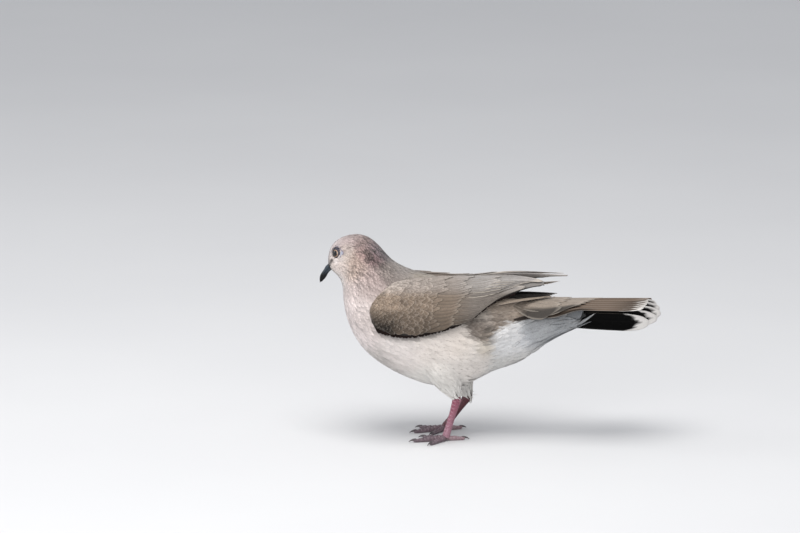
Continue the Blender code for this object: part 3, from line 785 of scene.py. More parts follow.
def speckle(name, straightPoints):
    points = straightPoints.copy()
    points[:, 1] = np.abs(points[:, 1])
    total = np.zeros(len(points))
    for strength, place, reach in speckleSpots[name]:
        total += strength * np.exp(-(((points - np.array(place)) / np.array(reach)) ** 2).sum(1))
    return np.clip(total, 0, 1)

# random blotches: about how many millimetres along and round the body, and which draw
patchWants = dict(spots=(2.8, 0.95, 5), streaks=(6.0, 1.1, 6))


def coatColour(grid, v, which, own):
    # the plumage's colours on one piece of the coat, each feather uneven, scaly and streaked in its own way
    _, rows, columns, _ = grid.shape

    def alongBody(key):
        return np.interp(share[which], coatWants["unevenAt"], coatWants[key])[:, None, None]

    place = grid.reshape(-1, 3)
    middle = plumageColour(grid[:, rows // 2, columns // 2])[:, None, None, :]
    shade = (1 - own) * plumageColour(place).reshape(grid.shape) + own * middle
    shade = varied(shade, alongBody("uneven")[..., None])
    nape, flank = (speckle(name, straight[which])[:, None, None] for name in ("nape", "flank"))
    # scaly: each feather darker where it comes out from under the next, and paler at its tip
    scaly = alongBody("scaly") + 0.3 * np.maximum(nape, flank)
    shade = shade * (1 + scaly * (1.3 * np.clip((v - 0.66) / 0.3, 0, 1) - 0.75))[..., None]
    unwrapped = bakePlace(place)
    spots, streaks = (patchy(unwrapped, *patchWants[name]).reshape(v.shape) for name in ("spots", "streaks"))
    dark = nape * (0.78 * ease(0.52, 0.66, spots) - 0.26) + alongBody("streaky") * (streaks - 0.5)
    dark = dark + flank * (0.5 * ease(0.42, 0.6, streaks) - 0.22)
    return shade * np.clip(1 - dark, 0.2, 1.5)[..., None]


# how far along the body each piece of the coat starts and ends
coatParts = {"coat_face": (0, 0.22), "coat_head": (0.22, 0.33), "coat_neck": (0.33, 0.42),
             "coat_breast": (0.42, 0.58), "coat_belly": (0.58, 2), "coat_back": (0.58, 2)}
bellyTop = 76  # the height that parts the belly from the back
for name, (start, end) in coatParts.items():
    which = (share >= start) & (share < end)
    if end > 1:
        which &= (straight[:, 2] < bellyTop) == (name == "coat_belly")
    small = name in ("coat_face", "coat_head")
    g, v, a, normal = vanes(lines[which], lineNormals[which], widths[which],
                            dict(coatVane, rows=5, columns=9) if small else coatVane)
    # the lift was worked out for a coat one millimetre deep; deeper coats rise in proportion
    g = g + normal * (depths[which] - 1)[:, None, None, None] * (1 - (1 - v) ** coatVane["rise"])[..., None]
    shade = coatColour(g, v, which, coatWants["ownOnFace" if name == "coat_face" else "own"])
    pale = np.interp(share[which], [0.3, 0.5, 0.75, 1], [0.1, 0.06, 0.08, 0.2])[:, None, None]
    brown = (ease(95, 110, straight[which, 2]) * ease(0.55, 0.7, share[which]))[:, None, None]
    trim = trimOf(v, pale + 0.35 * brown, 0.12 * brown)
    vanePiece(name, (g, v, a, normal), downMaterial, shade, trim, bakePlace(roots[which]))
    print(" ", name, len(g), "feathers")


# wings: a smooth sheet read from the solid's outer face, with rows of feathers lying back along it.
# each row is x, then y and z of the upper edge and of the lower edge
wingFront = [(-56.4, -30, 104, -31.5, 99.5), (-54.9, -29.5, 107, -33.5, 94.8), (-51.5, -28.5, 112, -36, 91.3),
             (-47, -26.5, 116.5, -37.5, 88.8), (-38, -22.5, 122, -39.5, 86.8)]
wingRows = {
    "left": wingFront + [
        (-24, -18.5, 124, -40.5, 86.4), (-6, -14, 124.8, -40, 90), (10, -9.5, 124.6, -38, 94.6),
        (22, -6.5, 124.2, -34, 99.8), (35, -5, 124.2, -28.5, 109.2), (50, -4.5, 124, -21.5, 114.4),
        (64, -6, 122.8, -15.5, 117.8), (73.5, -9, 120.6, -12, 118.8)],
    "right": wingFront + [
        (-24, -18.5, 122.4, -40.5, 86.4), (-6, -14, 122, -40, 90), (10, -9.5, 121.8, -38, 94.6),
        (22, -7, 122.4, -34, 99.8), (35, -6, 123.6, -28.5, 109.6), (50, -6, 124.8, -22.5, 114.6),
        (66, -6.5, 124.4, -18, 117.8), (80, -8, 123.2, -14, 120.4), (91.5, -10, 122.2, -12, 121.2)],
}
sheetWants = dict(rows=61, columns=21, bulge=0.72, search=14, depth=26, smoothing=6)


def solidTree(name):
    points, faces = nodeMesh(name)
    return BVHTree.FromPolygons([tuple(p) for p in points], faces)


def sheetFacing(grid, sign):
    # outward directions, checked near the middle of the sheet
    facing = unit(np.cross(np.gradient(grid, axis=1), np.gradient(grid, axis=0)))
    return facing if facing[30, 10, 1] * sign < 0 else -facing


def wingSheet(side, sign):
    # points on the wing's outer face: rows along the bird, columns from the upper edge to the lower
    rows = wingRows[side]
    line = curveThrough(rows, np.linspace(0, len(rows) - 1, sheetWants["rows"]))
    t = np.linspace(0, 1, sheetWants["columns"])[None, :, None]
    upper, lower = line[:, None, 1:3], line[:, None, 3:5]
    full = sheetWants["bulge"] * np.minimum(1, np.linalg.norm(lower - upper, axis=2, keepdims=True) / 14)
    middle = (upper + lower) / 2
    corner = middle + full * (np.concatenate([lower[..., :1], upper[..., 1:]], axis=2) - middle)
    curve = upper * (1 - t) ** 2 + corner * 2 * t * (1 - t) + lower * t * t
    grid = np.concatenate([np.broadcast_to(line[:, None, :1], curve.shape[:2] + (1,)), curve], axis=2)
    grid[..., 1] *= sign
    tree = solidTree("wing_" + side)
    facing = sheetFacing(grid, sign)
    for i, j in np.ndindex(grid.shape[:2]):
        start = grid[i, j] + sheetWants["search"] * facing[i, j]
        hit, _, _, _ = tree.ray_cast(Vector(start), Vector(-facing[i, j]), sheetWants["depth"])
        if hit is not None:
            grid[i, j] = hit
    for _ in range(sheetWants["smoothing"]):
        inner = (grid[:-2, 1:-1] + grid[2:, 1:-1] + grid[1:-1, :-2] + grid[1:-1, 2:]) / 4
        grid[1:-1, 1:-1] = grid[1:-1, 1:-1] * 0.5 + inner * 0.5
    return dict(x=grid[:, 0, 0].copy(), grid=grid, facing=sheetFacing(grid, sign), side=side, sign=sign)


def onSheet(sheet, x, t):
    # place and outward direction on the sheet, running straight on beyond its edges
    rows, columns = sheet["grid"].shape[:2]
    fx = np.interp(x, sheet["x"], np.arange(rows))
    beyond = np.maximum(0, x - sheet["x"][-1])
    before = np.minimum(0, x - sheet["x"][0])
    fj = np.asarray(t) * (columns - 1)
    i = np.clip(np.floor(fx).astype(int), 0, rows - 2)
    j = np.clip(np.floor(fj).astype(int), 0, columns - 2)
    a, b = (fx - i)[..., None], (fj - j)[..., None]

    def read(g):
        return ((g[i, j] * (1 - b) + g[i, j + 1] * b) * (1 - a)
                + (g[i + 1, j] * (1 - b) + g[i + 1, j + 1] * b) * a)

    place = read(sheet["grid"])
    place[..., 0] += beyond + before
    return place, unit(read(sheet["facing"]))


def sheetLines(sheet, x, t, length, endT, steps=9):
    # centre lines from (x, t) back along the sheet to (x + length, endT)
    k = np.linspace(0, 1, steps)[None]
    return onSheet(sheet, x[:, None] + length[:, None] * k, t[:, None] + (endT - t)[:, None] * k)

# each row runs from its uppermost feather to its lowest: place of the roots (x, share of the way down the
# wing) and of the tips, how many, how wide, how uneven, how far the tips stand off, how pale the fringes are,
# how round the tips
wingFeathers = {
    "secondaries": dict(root=((-4, 0.44), (-8, 0.86)), tip=((60, 0.86), (24.5, 0.96)), count=7, width=9,
                        uneven=0.4, depth=0.25, fringe=0.25, round=0.18),
    "tertials": dict(root=((18, 0.1), (8, 0.42)), tip=((72.5, 0.3), (56, 0.6)), count=5, width=14,
                     uneven=0.4, depth=0.8, fringe=0.6, round=0.32),
    "greater_coverts": dict(root=((-14, 0.28), (-22, 0.93)), tip=((19, 0.4), (5, 0.955)), count=12, width=7.4,
                            uneven=2.4, depth=0.6, fringe=0.12, round=0.18),
    "long_scapulars": dict(root=((-2, 0.03), (2, 0.34)), tip=((38, 0.12), (42, 0.48)), count=7, width=9,
                           uneven=1.9, depth=1.0, fringe=0.22, round=0.18),
    "median_coverts": dict(root=((-20, 0.24), (-29, 0.94)), tip=((-2, 0.27), (-9, 0.955)), count=17,
                           width=5.6, uneven=2.8, depth=0.8, fringe=0.08, round=0.18),
    "middle_scapulars": dict(root=((-8, 0.03), (-8, 0.36)), tip=((20, 0.07), (17, 0.42)), count=9, width=7,
                             uneven=2.2, depth=1.15, fringe=0.16, round=0.18),
    "short_scapulars": dict(root=((-20, 0.02), (-20, 0.34)), tip=((3, 0.05), (-1, 0.37)), count=10, width=6,
                            uneven=2.2, depth=1.2, fringe=0.14, round=0.18),
    "small_coverts": dict(root=((-30, 0.03), (-37, 0.94)), tip=((-13, 0.04), (-20, 0.955)), count=24,
                          width=5.2, uneven=2.2, depth=0.95, fringe=0.12, round=0.18),
}
wingPaints = dict(top=(174, 165, 159), mid=(127, 112, 98), dark=(43, 36, 29))


def wingColour(points):
    # olive brown, greyer towards the rear; paler above and darkest at the lower front, partly the plumage's
    # own colour and partly painted light above and painted shade below
    x, z = points[..., 0], points[..., 2]
    low = 1 - ease(88, 122, z)
    front = 1 - ease(-48, -28, x)
    top, mid, dark = (paint(*wingPaints[name]) for name in ("top", "mid", "dark"))
    shade = top * (1 - ease(-0.1, 0.16, low))[..., None] + mid * ease(-0.1, 0.16, low)[..., None]
    weight = (np.clip(low * 2.1 - 1.1, 0, 1) * (0.5 + 0.64 * front) * (1 - 0.5 * ease(10, 30, x)))[..., None]
    # painted light: paler at the upper front, and a little towards the rear
    paintedLight = 0.34 * (1 - ease(-44, -26, x)) * (1 - ease(0.4, 0.7, low)) + 0.15 * ease(8, 30, x)
    shade = shade * (1 + paintedLight)[..., None]
    grey = 0.5 * ease(0, 25, x)[..., None]
    shade = shade * (1 - grey) + shade.mean(-1, keepdims=True) * grey
    return shade * (1 - weight) + dark * weight


bedWants = dict(setIn=0.35, at=[-56, -45, 20, 60, 92], thick=[0.8, 2.2, 2.0, 0.8, 0.5], edge=0.86,
                shade=dict(left=0.55, right=1.3))


def wingBed(sheet):
    # the wing's own body under its feathers: the sheet, set in, and an inner face
    grid, facing, side = sheet["grid"], sheet["facing"], sheet["side"]
    rows, columns = grid.shape[:2]
    thin = np.interp(sheet["x"], bedWants["at"], bedWants["thick"])[:, None, None]
    outer, inner = grid - facing * bedWants["setIn"], grid - facing * (bedWants["setIn"] + thin)
    points = np.concatenate([outer.reshape(-1, 3), inner.reshape(-1, 3)])
    cell, rim = gridFaces(rows, columns), rimFaces(rows, columns, rows * columns)
    if sheet["sign"] < 0:
        cell, rim = cell[:, ::-1], rim[:, ::-1]
    uv = gridUv(np.linspace(0.05, 0.95, rows), np.linspace(0.05, 0.45, columns))
    uv = np.concatenate([uv, uv + [0, 0.5]])
    # painted shadow: the lowest strip of the bed is near-black, a dark line under the wing's lower edge
    edgeShadow = 1 - bedWants["edge"] * np.tile(ease(0.9, 0.96, np.linspace(0, 1, columns)), 2 * rows)[:, None]
    makePiece("wing_bed_" + side, points, [cell, cell[:, ::-1] + rows * columns, rim], downMaterial,
              vane=uv, bake=uv, colour=wingColour(points) * bedWants["shade"][side] * edgeShadow,
              trim=np.zeros((len(points), 3)), stands=("wing_" + side,))


lesserWants = dict(tries=9000, start=-56.2, span=38, at=[-56, -45, -20, -5], gaps=[1.3, 1.7, 2.5, 3.2],
                   lengths=[4.0, 6, 8.6, 10.6], slim=0.62, trim=(0.14, 0.25))
lesserVane = dict(coatVane, rows=8, columns=9, ragged=0.03, round=0.3, camber=0.08, rise=1.5)


def lesserCoverts(sheet):
    # small coverts over the front of the wing, thinning into the rows behind
    x = lesserWants["start"] + rng.random(lesserWants["tries"]) * lesserWants["span"]
    t = 0.01 + 0.95 * rng.random(lesserWants["tries"])
    place, _ = onSheet(sheet, x, t)
    kept = thinned(place, np.interp(x, lesserWants["at"], lesserWants["gaps"]))
    x, t = x[kept], t[kept]
    reach = np.interp(x, lesserWants["at"], lesserWants["lengths"]) * (0.9 + 0.2 * rng.random(len(x)))
    lines, normals = sheetLines(sheet, x, t, reach, t + rng.normal(size=len(x)) * 0.02, 5)
    vane = vanes(lines, normals, reach * lesserWants["slim"], lesserVane)
    grid, v, a, _ = vane
    base = varied(wingColour(grid[:, 4, 4])[:, None, None], 0.14)
    rim = np.maximum(ease(0.7, 1, v), ease(0.75, 1, np.abs(a)))
    vanePiece("lesser_coverts_" + sheet["side"], vane, covertMaterial,
              np.broadcast_to(base, grid.shape) * (0.87 + 0.28 * rim)[..., None],
              trimOf(v, *lesserWants["trim"]), bakePlace(lines[:, 0]))


def underside(side, shade):
    # the right wing's feathers get undersides painted much paler: painted light on the far wing's inner
    # faces, which stand in shade
    return None if side == "left" else np.minimum(shade * 1.9, 0.75)


rowVane = dict(plainVane, ragged=0.012, along=[0, 0.15, 0.5, 0.8, 0.93, 1],
               wide=[0.3, 0.75, 1, 0.98, 0.85, 0.6], low=0.05, camber=0.07)


def wingRow(sheet, name, row):
    count, side = row["count"], sheet["side"]
    k = np.linspace(0, 1, count)
    (x0, t0), (x1, t1) = row["root"]
    (x2, t2), (x3, t3) = row["tip"]
    x = x0 + (x1 - x0) * k + rng.normal(size=count) * row["uneven"] * 0.7
    tip = x2 + (x3 - x2) * k + rng.normal(size=count) * row["uneven"]
    if side == "right":
        tip = tip + 16 * ease(40, 75, tip)  # the right wing's long feathers reach further back
    endT = t2 + (t3 - t2) * k + rng.normal(size=count) * 0.006
    lines, normals = sheetLines(sheet, x, t0 + (t1 - t0) * k, tip - x, endT)
    want = dict(rowVane, round=row["round"], depth=row["depth"], tilt=-0.26 * sheet["sign"])
    vane = vanes(lines, normals, np.full(count, float(row["width"])), want, spread=(0.5 - k) * 0.4)
    grid, v, a, _ = vane
    # darker just inside the pale fringe
    inside = 1 - (0.12 + 0.35 * row["fringe"]) * ease(0.5, 0.84, np.abs(a))
    shade = varied(wingColour(grid), 0.05) * ((0.84 + 0.2 * v) * inside)[..., None]
    vanePiece(name + "_" + side, vane, flightMaterial, shade, trimOf(v, row["fringe"], 0.35),
              bakePlace(lines[:, 0]), thick=0.2, under=underside(side, shade), underTrim=1.5)


underwingWants = dict(count=44, start=-54, end=48, root=0.86, drop=1.5, length=4.0, width=5.0,
                      colour=(34, 27, 25))
underwingVane = dict(plainVane, rows=8, columns=7, ragged=0.02, round=0.2, along=[0, 0.5, 1],
                     wide=[0.8, 1, 0.8], low=-0.7, depth=-0.45, camber=0.0)


def underwingCoverts(sheet):
    # short feathers of the wing's underside show below its lower edge, painted near-black as the shadow line
    # under the wing
    count = underwingWants["count"]
    x = np.linspace(underwingWants["start"], underwingWants["end"], count) + rng.normal(size=count) * 0.4
    across = np.linalg.norm(sheet["grid"][:, -1] - sheet["grid"][:, 0], axis=1)
    endT = 1 + underwingWants["drop"] / np.interp(x, sheet["x"], across)
    lines, normals = sheetLines(sheet, x, np.full(count, underwingWants["root"]),
                                np.full(count, underwingWants["length"]), endT, 5)
    vane = vanes(lines, normals, np.full(count, underwingWants["width"]), underwingVane)
    shade = varied(np.broadcast_to(paint(*underwingWants["colour"]), vane[0].shape), 0.1)
    vanePiece("underwing_shadow_coverts_" + sheet["side"], vane, darkFlightMaterial, shade,
              trimOf(vane[1], 0, 0.1), bakePlace(lines[:, 0]), thick=0.2)


# the folded primaries: x, then y and z of the upper and the lower edge of their stack
primaryRows = {
    "left": [(34, -15.5, 111.6, -24.5, 107.2), (44, -13, 112.3, -23, 108.6), (56, -9, 111.9, -18.5, 109.3),
             (70, -5.5, 111, -13, 109.3), (84, -4, 110.2, -8.5, 109)],
    "right": [(34, -15.5, 113, -25, 107.6), (44, -12.5, 114.2, -23, 109.6), (58, -8, 115.6, -18, 112),
              (74, -6.5, 116.6, -13, 114.6), (86, -7, 117, -11, 115.8)],
}
primaryWants = dict(blades=6, spread=(0.1, 0.9), shortest=0.82, width=6.5, fan=1.2, thick=0.22,
                    # on the left wing the upper blades are near-black, a painted shadow in the gap between
                    # the wing and the rump, and the lower ones brown
                    left=dict(inner=(20, 17, 16), outer=(148, 135, 122), fringe=0.22),
                    right=dict(inner=(148, 138, 128), outer=(148, 138, 128), fringe=0.9))
primaryVane = dict(plainVane, columns=7, round=0.1, along=[0, 0.2, 0.6, 0.85, 1],
                   wide=[0.8, 1, 0.9, 0.6, 0.25], low=0.0, depth=0.2, camber=0.05)


def primaries(side, sign):
    look, blades = primaryWants[side], primaryWants["blades"]
    line = curveThrough(primaryRows[side], np.linspace(0, 4, 9))
    k = np.linspace(*primaryWants["spread"], blades)[:, None, None]
    centre = line[None, :, 1:3] * (1 - k) + line[None, :, 3:5] * k
    whole = np.concatenate([np.broadcast_to(line[None, :, :1], centre.shape[:2] + (1,)), centre], axis=2)
    whole[..., 1] *= sign
    span = line[None, :, 3:5] - line[None, :, 1:3]
    outward = np.stack([0 * span[..., 0], span[..., 1] * sign, -span[..., 0]], axis=-1)
    outward = unit(np.broadcast_to(outward, whole.shape).copy())
    outward = outward if outward[0, 4, 2] > 0 else -outward
    lines = whole.copy()
    for b, shorter in enumerate(np.linspace(1.0, primaryWants["shortest"], blades)):
        s = np.linspace(0, shorter, 9) * 8
        i = np.clip(np.floor(s).astype(int), 0, 7)
        f = (s - i)[:, None]
        lines[b] = whole[b, i] * (1 - f) + whole[b, i + 1] * f
    vane = vanes(lines, outward, np.full(blades, primaryWants["width"]), primaryVane,
                 spread=(0.5 - np.linspace(0, 1, blades)) * primaryWants["fan"])
    paler = ease(0.0, 0.16, k - 0.3 - 0.3 * ease(42, 56, vane[0][..., 0]))[..., None]
    shade = varied(paint(*look["inner"]) * (1 - paler) + paint(*look["outer"]) * paler, 0.08)
    vanePiece("primaries_" + side + "_vanes", vane, darkFlightMaterial, shade,
              trimOf(vane[1], look["fringe"], 0.2), bakePlace(lines[:, 0]), thick=primaryWants["thick"],
              under=underside(side, shade), underTrim=1.0, stands=("primaries_" + side,))


print("wings")
for side, sign in (("left", 1), ("right", -1)):
    sheet = wingSheet(side, sign)
    wingBed(sheet)
    lesserCoverts(sheet)
    for name, row in wingFeathers.items():
        wingRow(sheet, name, row)
    underwingCoverts(sheet)
    primaries(side, sign)


print("tail")
tailWants = dict(rootX=58, axisZ=104.6, roll=26, arch=28, halfWidth=(15, 29), pairs=6, width=17, startX=56,
                 white=[0.0, 2.0, 3.0, 4.5, 6.0, 8.0], brown=(104, 90, 79), black=(5, 5, 5),
                 whiteTip=(232, 228, 224), middle=(96, 76, 60))


def tailHalf(x):
    # half the tail's width at x, which opens from its root to its tip
    u = np.clip((x - tailWants["rootX"]) / (tailTipX - tailWants["rootX"]), 1e-4, 1)
    root, tip = tailWants["halfWidth"]
    return root + (tip - root) * u**0.35


def tailPlace(x, q, h):
    # a point over the tail's arched plate: along it, across it (-1 left edge to 1 right edge), and above it
    y = q * tailHalf(x)
    z = -math.tan(math.radians(tailWants["arch"])) * (np.sqrt(y**2 + 9) - 3) + h
    a = math.radians(tailWants["roll"])
    return np.stack([x + 0 * y, y * math.cos(a) + z * math.sin(a),
                     tailWants["axisZ"] - y * math.sin(a) + z * math.cos(a)], axis=-1)


def tailEnd(q):
    shorter = np.where(q > 0.5, 0.75 * (q - 0.5) ** 2, 0.09 * np.minimum(1, np.maximum(0, 1 - 2 * q)) ** 1.5)
    shorter = shorter + 0.07 * np.minimum(0, q) ** 2
    return tailTipX - shorter * (tailTipX - tailWants["rootX"])


def tailVanes(rootQ, tipQ, rootX, tipX, widths, rootH, tipH, want):
    # feathers laid on the arched plate of the tail, one row of each array per feather
    n, rows, columns = len(rootQ), want["rows"], want["columns"]
    rootQ, tipQ, rootX, tipX, widths, rootH, tipH = (
        np.broadcast_to(np.asarray(value, float), (n,))[:, None, None]
        for value in (rootQ, tipQ, rootX, tipX, widths, rootH, tipH))
    v = np.linspace(0, 1, rows)[None, :, None] + np.zeros((n, 1, 1))
    a = np.linspace(-1, 1, columns)[None, None, :]
    along = v * (1 - want["round"] * np.abs(a) ** 2.4 - want["ragged"] * rng.random((n, 1, columns)))
    x = rootX + (tipX - rootX) * along
    opened = 1 - (1 - v) ** want["rise"]
    half = np.interp(v, want["along"], want["wide"]) * widths / 2
    q = rootQ + (tipQ - rootQ) * opened + a * half / tailHalf(x)
    h = rootH + (tipH - rootH) * opened - want["camber"] * a**2 - want["tilt"] * a * np.sign(tipQ)
    # the outermost ones hang over the edges of the rump
    h = h - 22 * (1 - ease(70, 102, x)) * np.maximum(0, np.abs(q) - 0.45) ** 2 * np.where(q < 0, 1, 0.6)
    grid = tailPlace(x, q, h)
    return (grid, v + 0 * a, a + 0 * v, unit(tailPlace(x, q, h + 1) - grid)), np.abs(q)


def whiteEnds(fromTip, reach, length):
    # 1 over the white end of each feather, which starts at a streaked line
    return ((1 - ease(0, 1, (fromTip - reach + 1.2) / 2.4)) * (length > 0))[..., None]


tailVane = dict(plainVane, rows=44, columns=11, ragged=0.006, round=0.085, along=[0, 0.2, 0.6, 0.9, 1],
                wide=[0.4, 0.8, 0.95, 1, 0.84], camber=0.25, tilt=0.12, rise=6)
tailRank = np.repeat(np.arange(tailWants["pairs"]), 2)
tailQ = np.tile([-1, 1], tailWants["pairs"]) * (0.08 + 0.15 * tailRank)
ends = tailEnd(tailQ) - 0.3
vane, across = tailVanes(tailQ * 0.4, tailQ, tailWants["startX"], ends, tailWants["width"],
                         -2.5 - 0.3 * tailRank, 1.5 - 0.42 * tailRank, tailVane)
grid, v, a, _ = vane
rank = tailRank[:, None, None]
whiteLength = np.array(tailWants["white"])[rank]
fromTip = (1 - v) * (ends - tailWants["startX"])[:, None, None]
streaked = whiteLength + 1.5 * np.sin(a * 9 + rank) + 2.5 * np.abs(a)
whiteTip = paint(*tailWants["whiteTip"])
top = paint(*tailWants["brown"]) * (1 - ease(0.7, 0.98, v)[..., None] * 0.55 * (rank > 0)[..., None])
# the tips are white over less of their upper faces on the left half
white = whiteEnds(fromTip, streaked * np.where(tailQ < 0, 0.3, 1)[:, None, None], whiteLength)
top = top * (1 - white) + whiteTip * white
# painted shadow: the tail's outermost edges are darkened towards the root, a dark line where the tail
# overhangs the white
top = top * (1 - 0.85 * ease(0.94, 1.06, across) * (1 - ease(0.5, 0.7, v)))[..., None]
white = whiteEnds(fromTip, streaked, whiteLength)
under = paint(*tailWants["black"]) + 0 * v[..., None]
under = np.where((rank == 0)[..., None], paint(*tailWants["middle"]), under)
under = under * (1 - white) + whiteTip * white
vanePiece("tail_feathers", vane, darkFlightMaterial, top, trimOf(v, 0.3, 0.15),
          bakePlace(grid[:, 0, 5]), thick=0.25, under=under, stands=("tail",))

# long pointed coverts under the tail and beside the vent, and narrow near-black ones that stand for the
# shadow line where the brown of the rump meets the white. depth is how far their tips stand off, rising how
# steeply they set out, outline how dark their edges are, and own how far they keep their own colour
longCovertWants = {
    # the undertail coverts' white is greyed as painted shade under the tail
    "undertail_coverts": dict(
        starts=[(60, -9, 64), (58, 9, 62), (62, -3, 62), (64, 5, 64), (52, -14, 66), (52, 14, 64)],
        lengths=[56, 50, 46, 44, 40, 38], widths=[13, 13, 12, 12, 12, 12], depth=1.3, colour=(184, 186, 189),
        rising=0.12, outline=0.3, own=0.2),
    "vent_coverts": dict(
        starts=[(54, -22, 84), (56, -20, 78), (60, -17, 72), (64, -14, 67), (68, -17, 82), (72, -14, 76),
                (60, -20, 87), (76, -12, 82)],
        lengths=[34, 36, 38, 38, 34, 34, 30, 30], widths=[9, 9, 10, 10, 9, 9, 8, 8], depth=0.9,
        colour=(196, 198, 201), rising=0.24, outline=0.16, own=0.2),
    "shadow_line_coverts": dict(
        starts=[(50, -18, 93), (56, -17, 94), (63, -15, 94.6), (70, -13, 95.2), (77, -12, 96)],
        lengths=[20, 24, 28, 32, 34], widths=[2.6, 2.8, 3, 3, 3], depth=2.0, colour=(44, 36, 31), rising=0.16,
        outline=0.0, own=1.0),
}


def longCoverts(kind, ending="", sign=1):
    want = longCovertWants[kind]
    starts = [skinTree.find_nearest(Vector((x, sign * y, z)))[0] for x, y, z in want["starts"]]
    starts, count = np.array(starts), len(starts)
    flow = unit(np.tile([1.0, 0, want["rising"]], (count, 1)))
    lines, normals = walkSkin(starts, flow, np.array(want["lengths"], float), 9, np.full(count, 2.2))
    vane = vanes(lines, normals, np.array(want["widths"], float), dict(plainVane, depth=want["depth"]),
                 spread=np.linspace(0.5, 0, count))
    grid, v, a, _ = vane
    blend = plumageColour(grid.reshape(-1, 3)).reshape(grid.shape)
    colour = varied(want["own"] * paint(*want["colour"]) + (1 - want["own"]) * blend, 0.05)
    colour = colour * (1 - want["outline"] * ease(0.7, 0.95, np.abs(a)))[..., None]
    vanePiece(kind + ending, vane, flightMaterial, colour, trimOf(v, 0, 0.1), bakePlace(starts),
              thick=0.2)


longCoverts("undertail_coverts")
for side, sign in (("left", 1), ("right", -1)):
    longCoverts("vent_coverts", "_" + side, sign)
    longCoverts("shadow_line_coverts", "_" + side, sign)
# the upper tail coverts lie in two rows over the roots of the tail feathers
upperWants = dict(
    across=[-0.88, -0.7, -0.5, -0.3, -0.1, 0.1, 0.3, 0.5, 0.7, 0.86,
            -0.94, -0.76, -0.55, -0.33, -0.11, 0.13, 0.34, 0.56, 0.77, 0.92],
    tips=[100, 105, 110, 114, 118, 117, 113, 108, 103, 98, 86, 88, 91, 93, 95, 96, 94, 91, 88, 85],
    roots=(54, 46), width=10.5, colour=(150, 138, 126))
upperVane = dict(plainVane, rows=16, ragged=0.02, round=0.2, wide=[0.5, 0.85, 1, 0.92, 0.6], camber=0.2,
                 tilt=0.05, rise=3.2)
upperQ = np.array(upperWants["across"])
upperTip = np.array(upperWants["tips"]) + rng.normal(size=len(upperQ))
secondRow = np.repeat([0.0, 1.0], len(upperQ) // 2)
upperRoot = np.array(upperWants["roots"], float)[secondRow.astype(int)]
vane, across = tailVanes(upperQ * 0.3, upperQ, upperRoot, upperTip, upperWants["width"], -2.2,
                         1.7 + 0.5 * secondRow, upperVane)
grid, v, a, _ = vane
shade = varied(np.broadcast_to(paint(*upperWants["colour"]), grid.shape), 0.05)
# painted shadow: dark along the edges that hang over the white, where they shade it
shade = shade * (1 - 0.85 * ease(0.82, 0.95, across) * ease(0.15, 0.4, v))[..., None]
vanePiece("uppertail_coverts", vane, flightMaterial, shade, trimOf(v, 0.22, 0.2),
          bakePlace(grid[:, 0, 4]), thick=0.2)


print("bill")
billMaterial = grainMaterial("billHorn", tint=(0.01, 0.01, 0.012), smoothest=0.35, coat=0.08, specular=0.15)
billWants = dict(voxel=0.3, passes=4, operculum=(-93.4, 1.9, 126.4), reach=2.7, swell=0.55, slit=0.35,
                 nostrilX=-95.2, slitWidth=0.3, nail=0.32, nailZ=118.5, base=paint(64, 72, 80),
                 tip=paint(11, 11, 13))
for half in ("upper", "lower"):
    points, quads = remeshed(["bill_" + half], billWants["voxel"], 0.0, billWants["passes"])
    normal = vertexNormals(points, quads)
    straight = turned(points, -headTurn)
    x, y, z = straight.T
    if half == "upper":
        # the soft swelling over the nostrils, and the slit under it
        offset = np.abs(straight) - np.abs(np.array(billWants["operculum"]))
        near = np.exp(-(offset**2).sum(1) / (billWants["reach"] / 1.6) ** 2)
        slit = np.exp(-((z - 124.6 + (x + 94.5) * 0.8) / billWants["slitWidth"]) ** 2)
        slit = slit * np.exp(-((x - billWants["nostrilX"]) / 1.2) ** 2) * (np.abs(y) > 1)
        points = points + normal * (billWants["swell"] * near)[:, None]
        points = points - normal * (billWants["slit"] * slit)[:, None]
    points = points + normal * (billWants["nail"] * np.exp(-((z - billWants["nailZ"]) / 3.2) ** 2))[:, None]
    # slate-grey over the top from the root forward, partly the operculum's paler horn and partly painted
    # highlight along the ridge; near-black below and towards the tip
    fade = 1 - (ease(119.5, 125, z) * (1 - 0.75 * ease(-96, -99, x)))[:, None]
    colour = billWants["base"] * (1 - fade) + billWants["tip"] * fade
    uv = np.stack([(x + 105) / 40 + 0.5 * (y > 0), (z - 110) / 22], axis=1)
    makePiece("bill_" + half + "_horn", points, quads, billMaterial, bake=uv, colour=colour,
              stands=("bill_" + half,))


print("eyes")


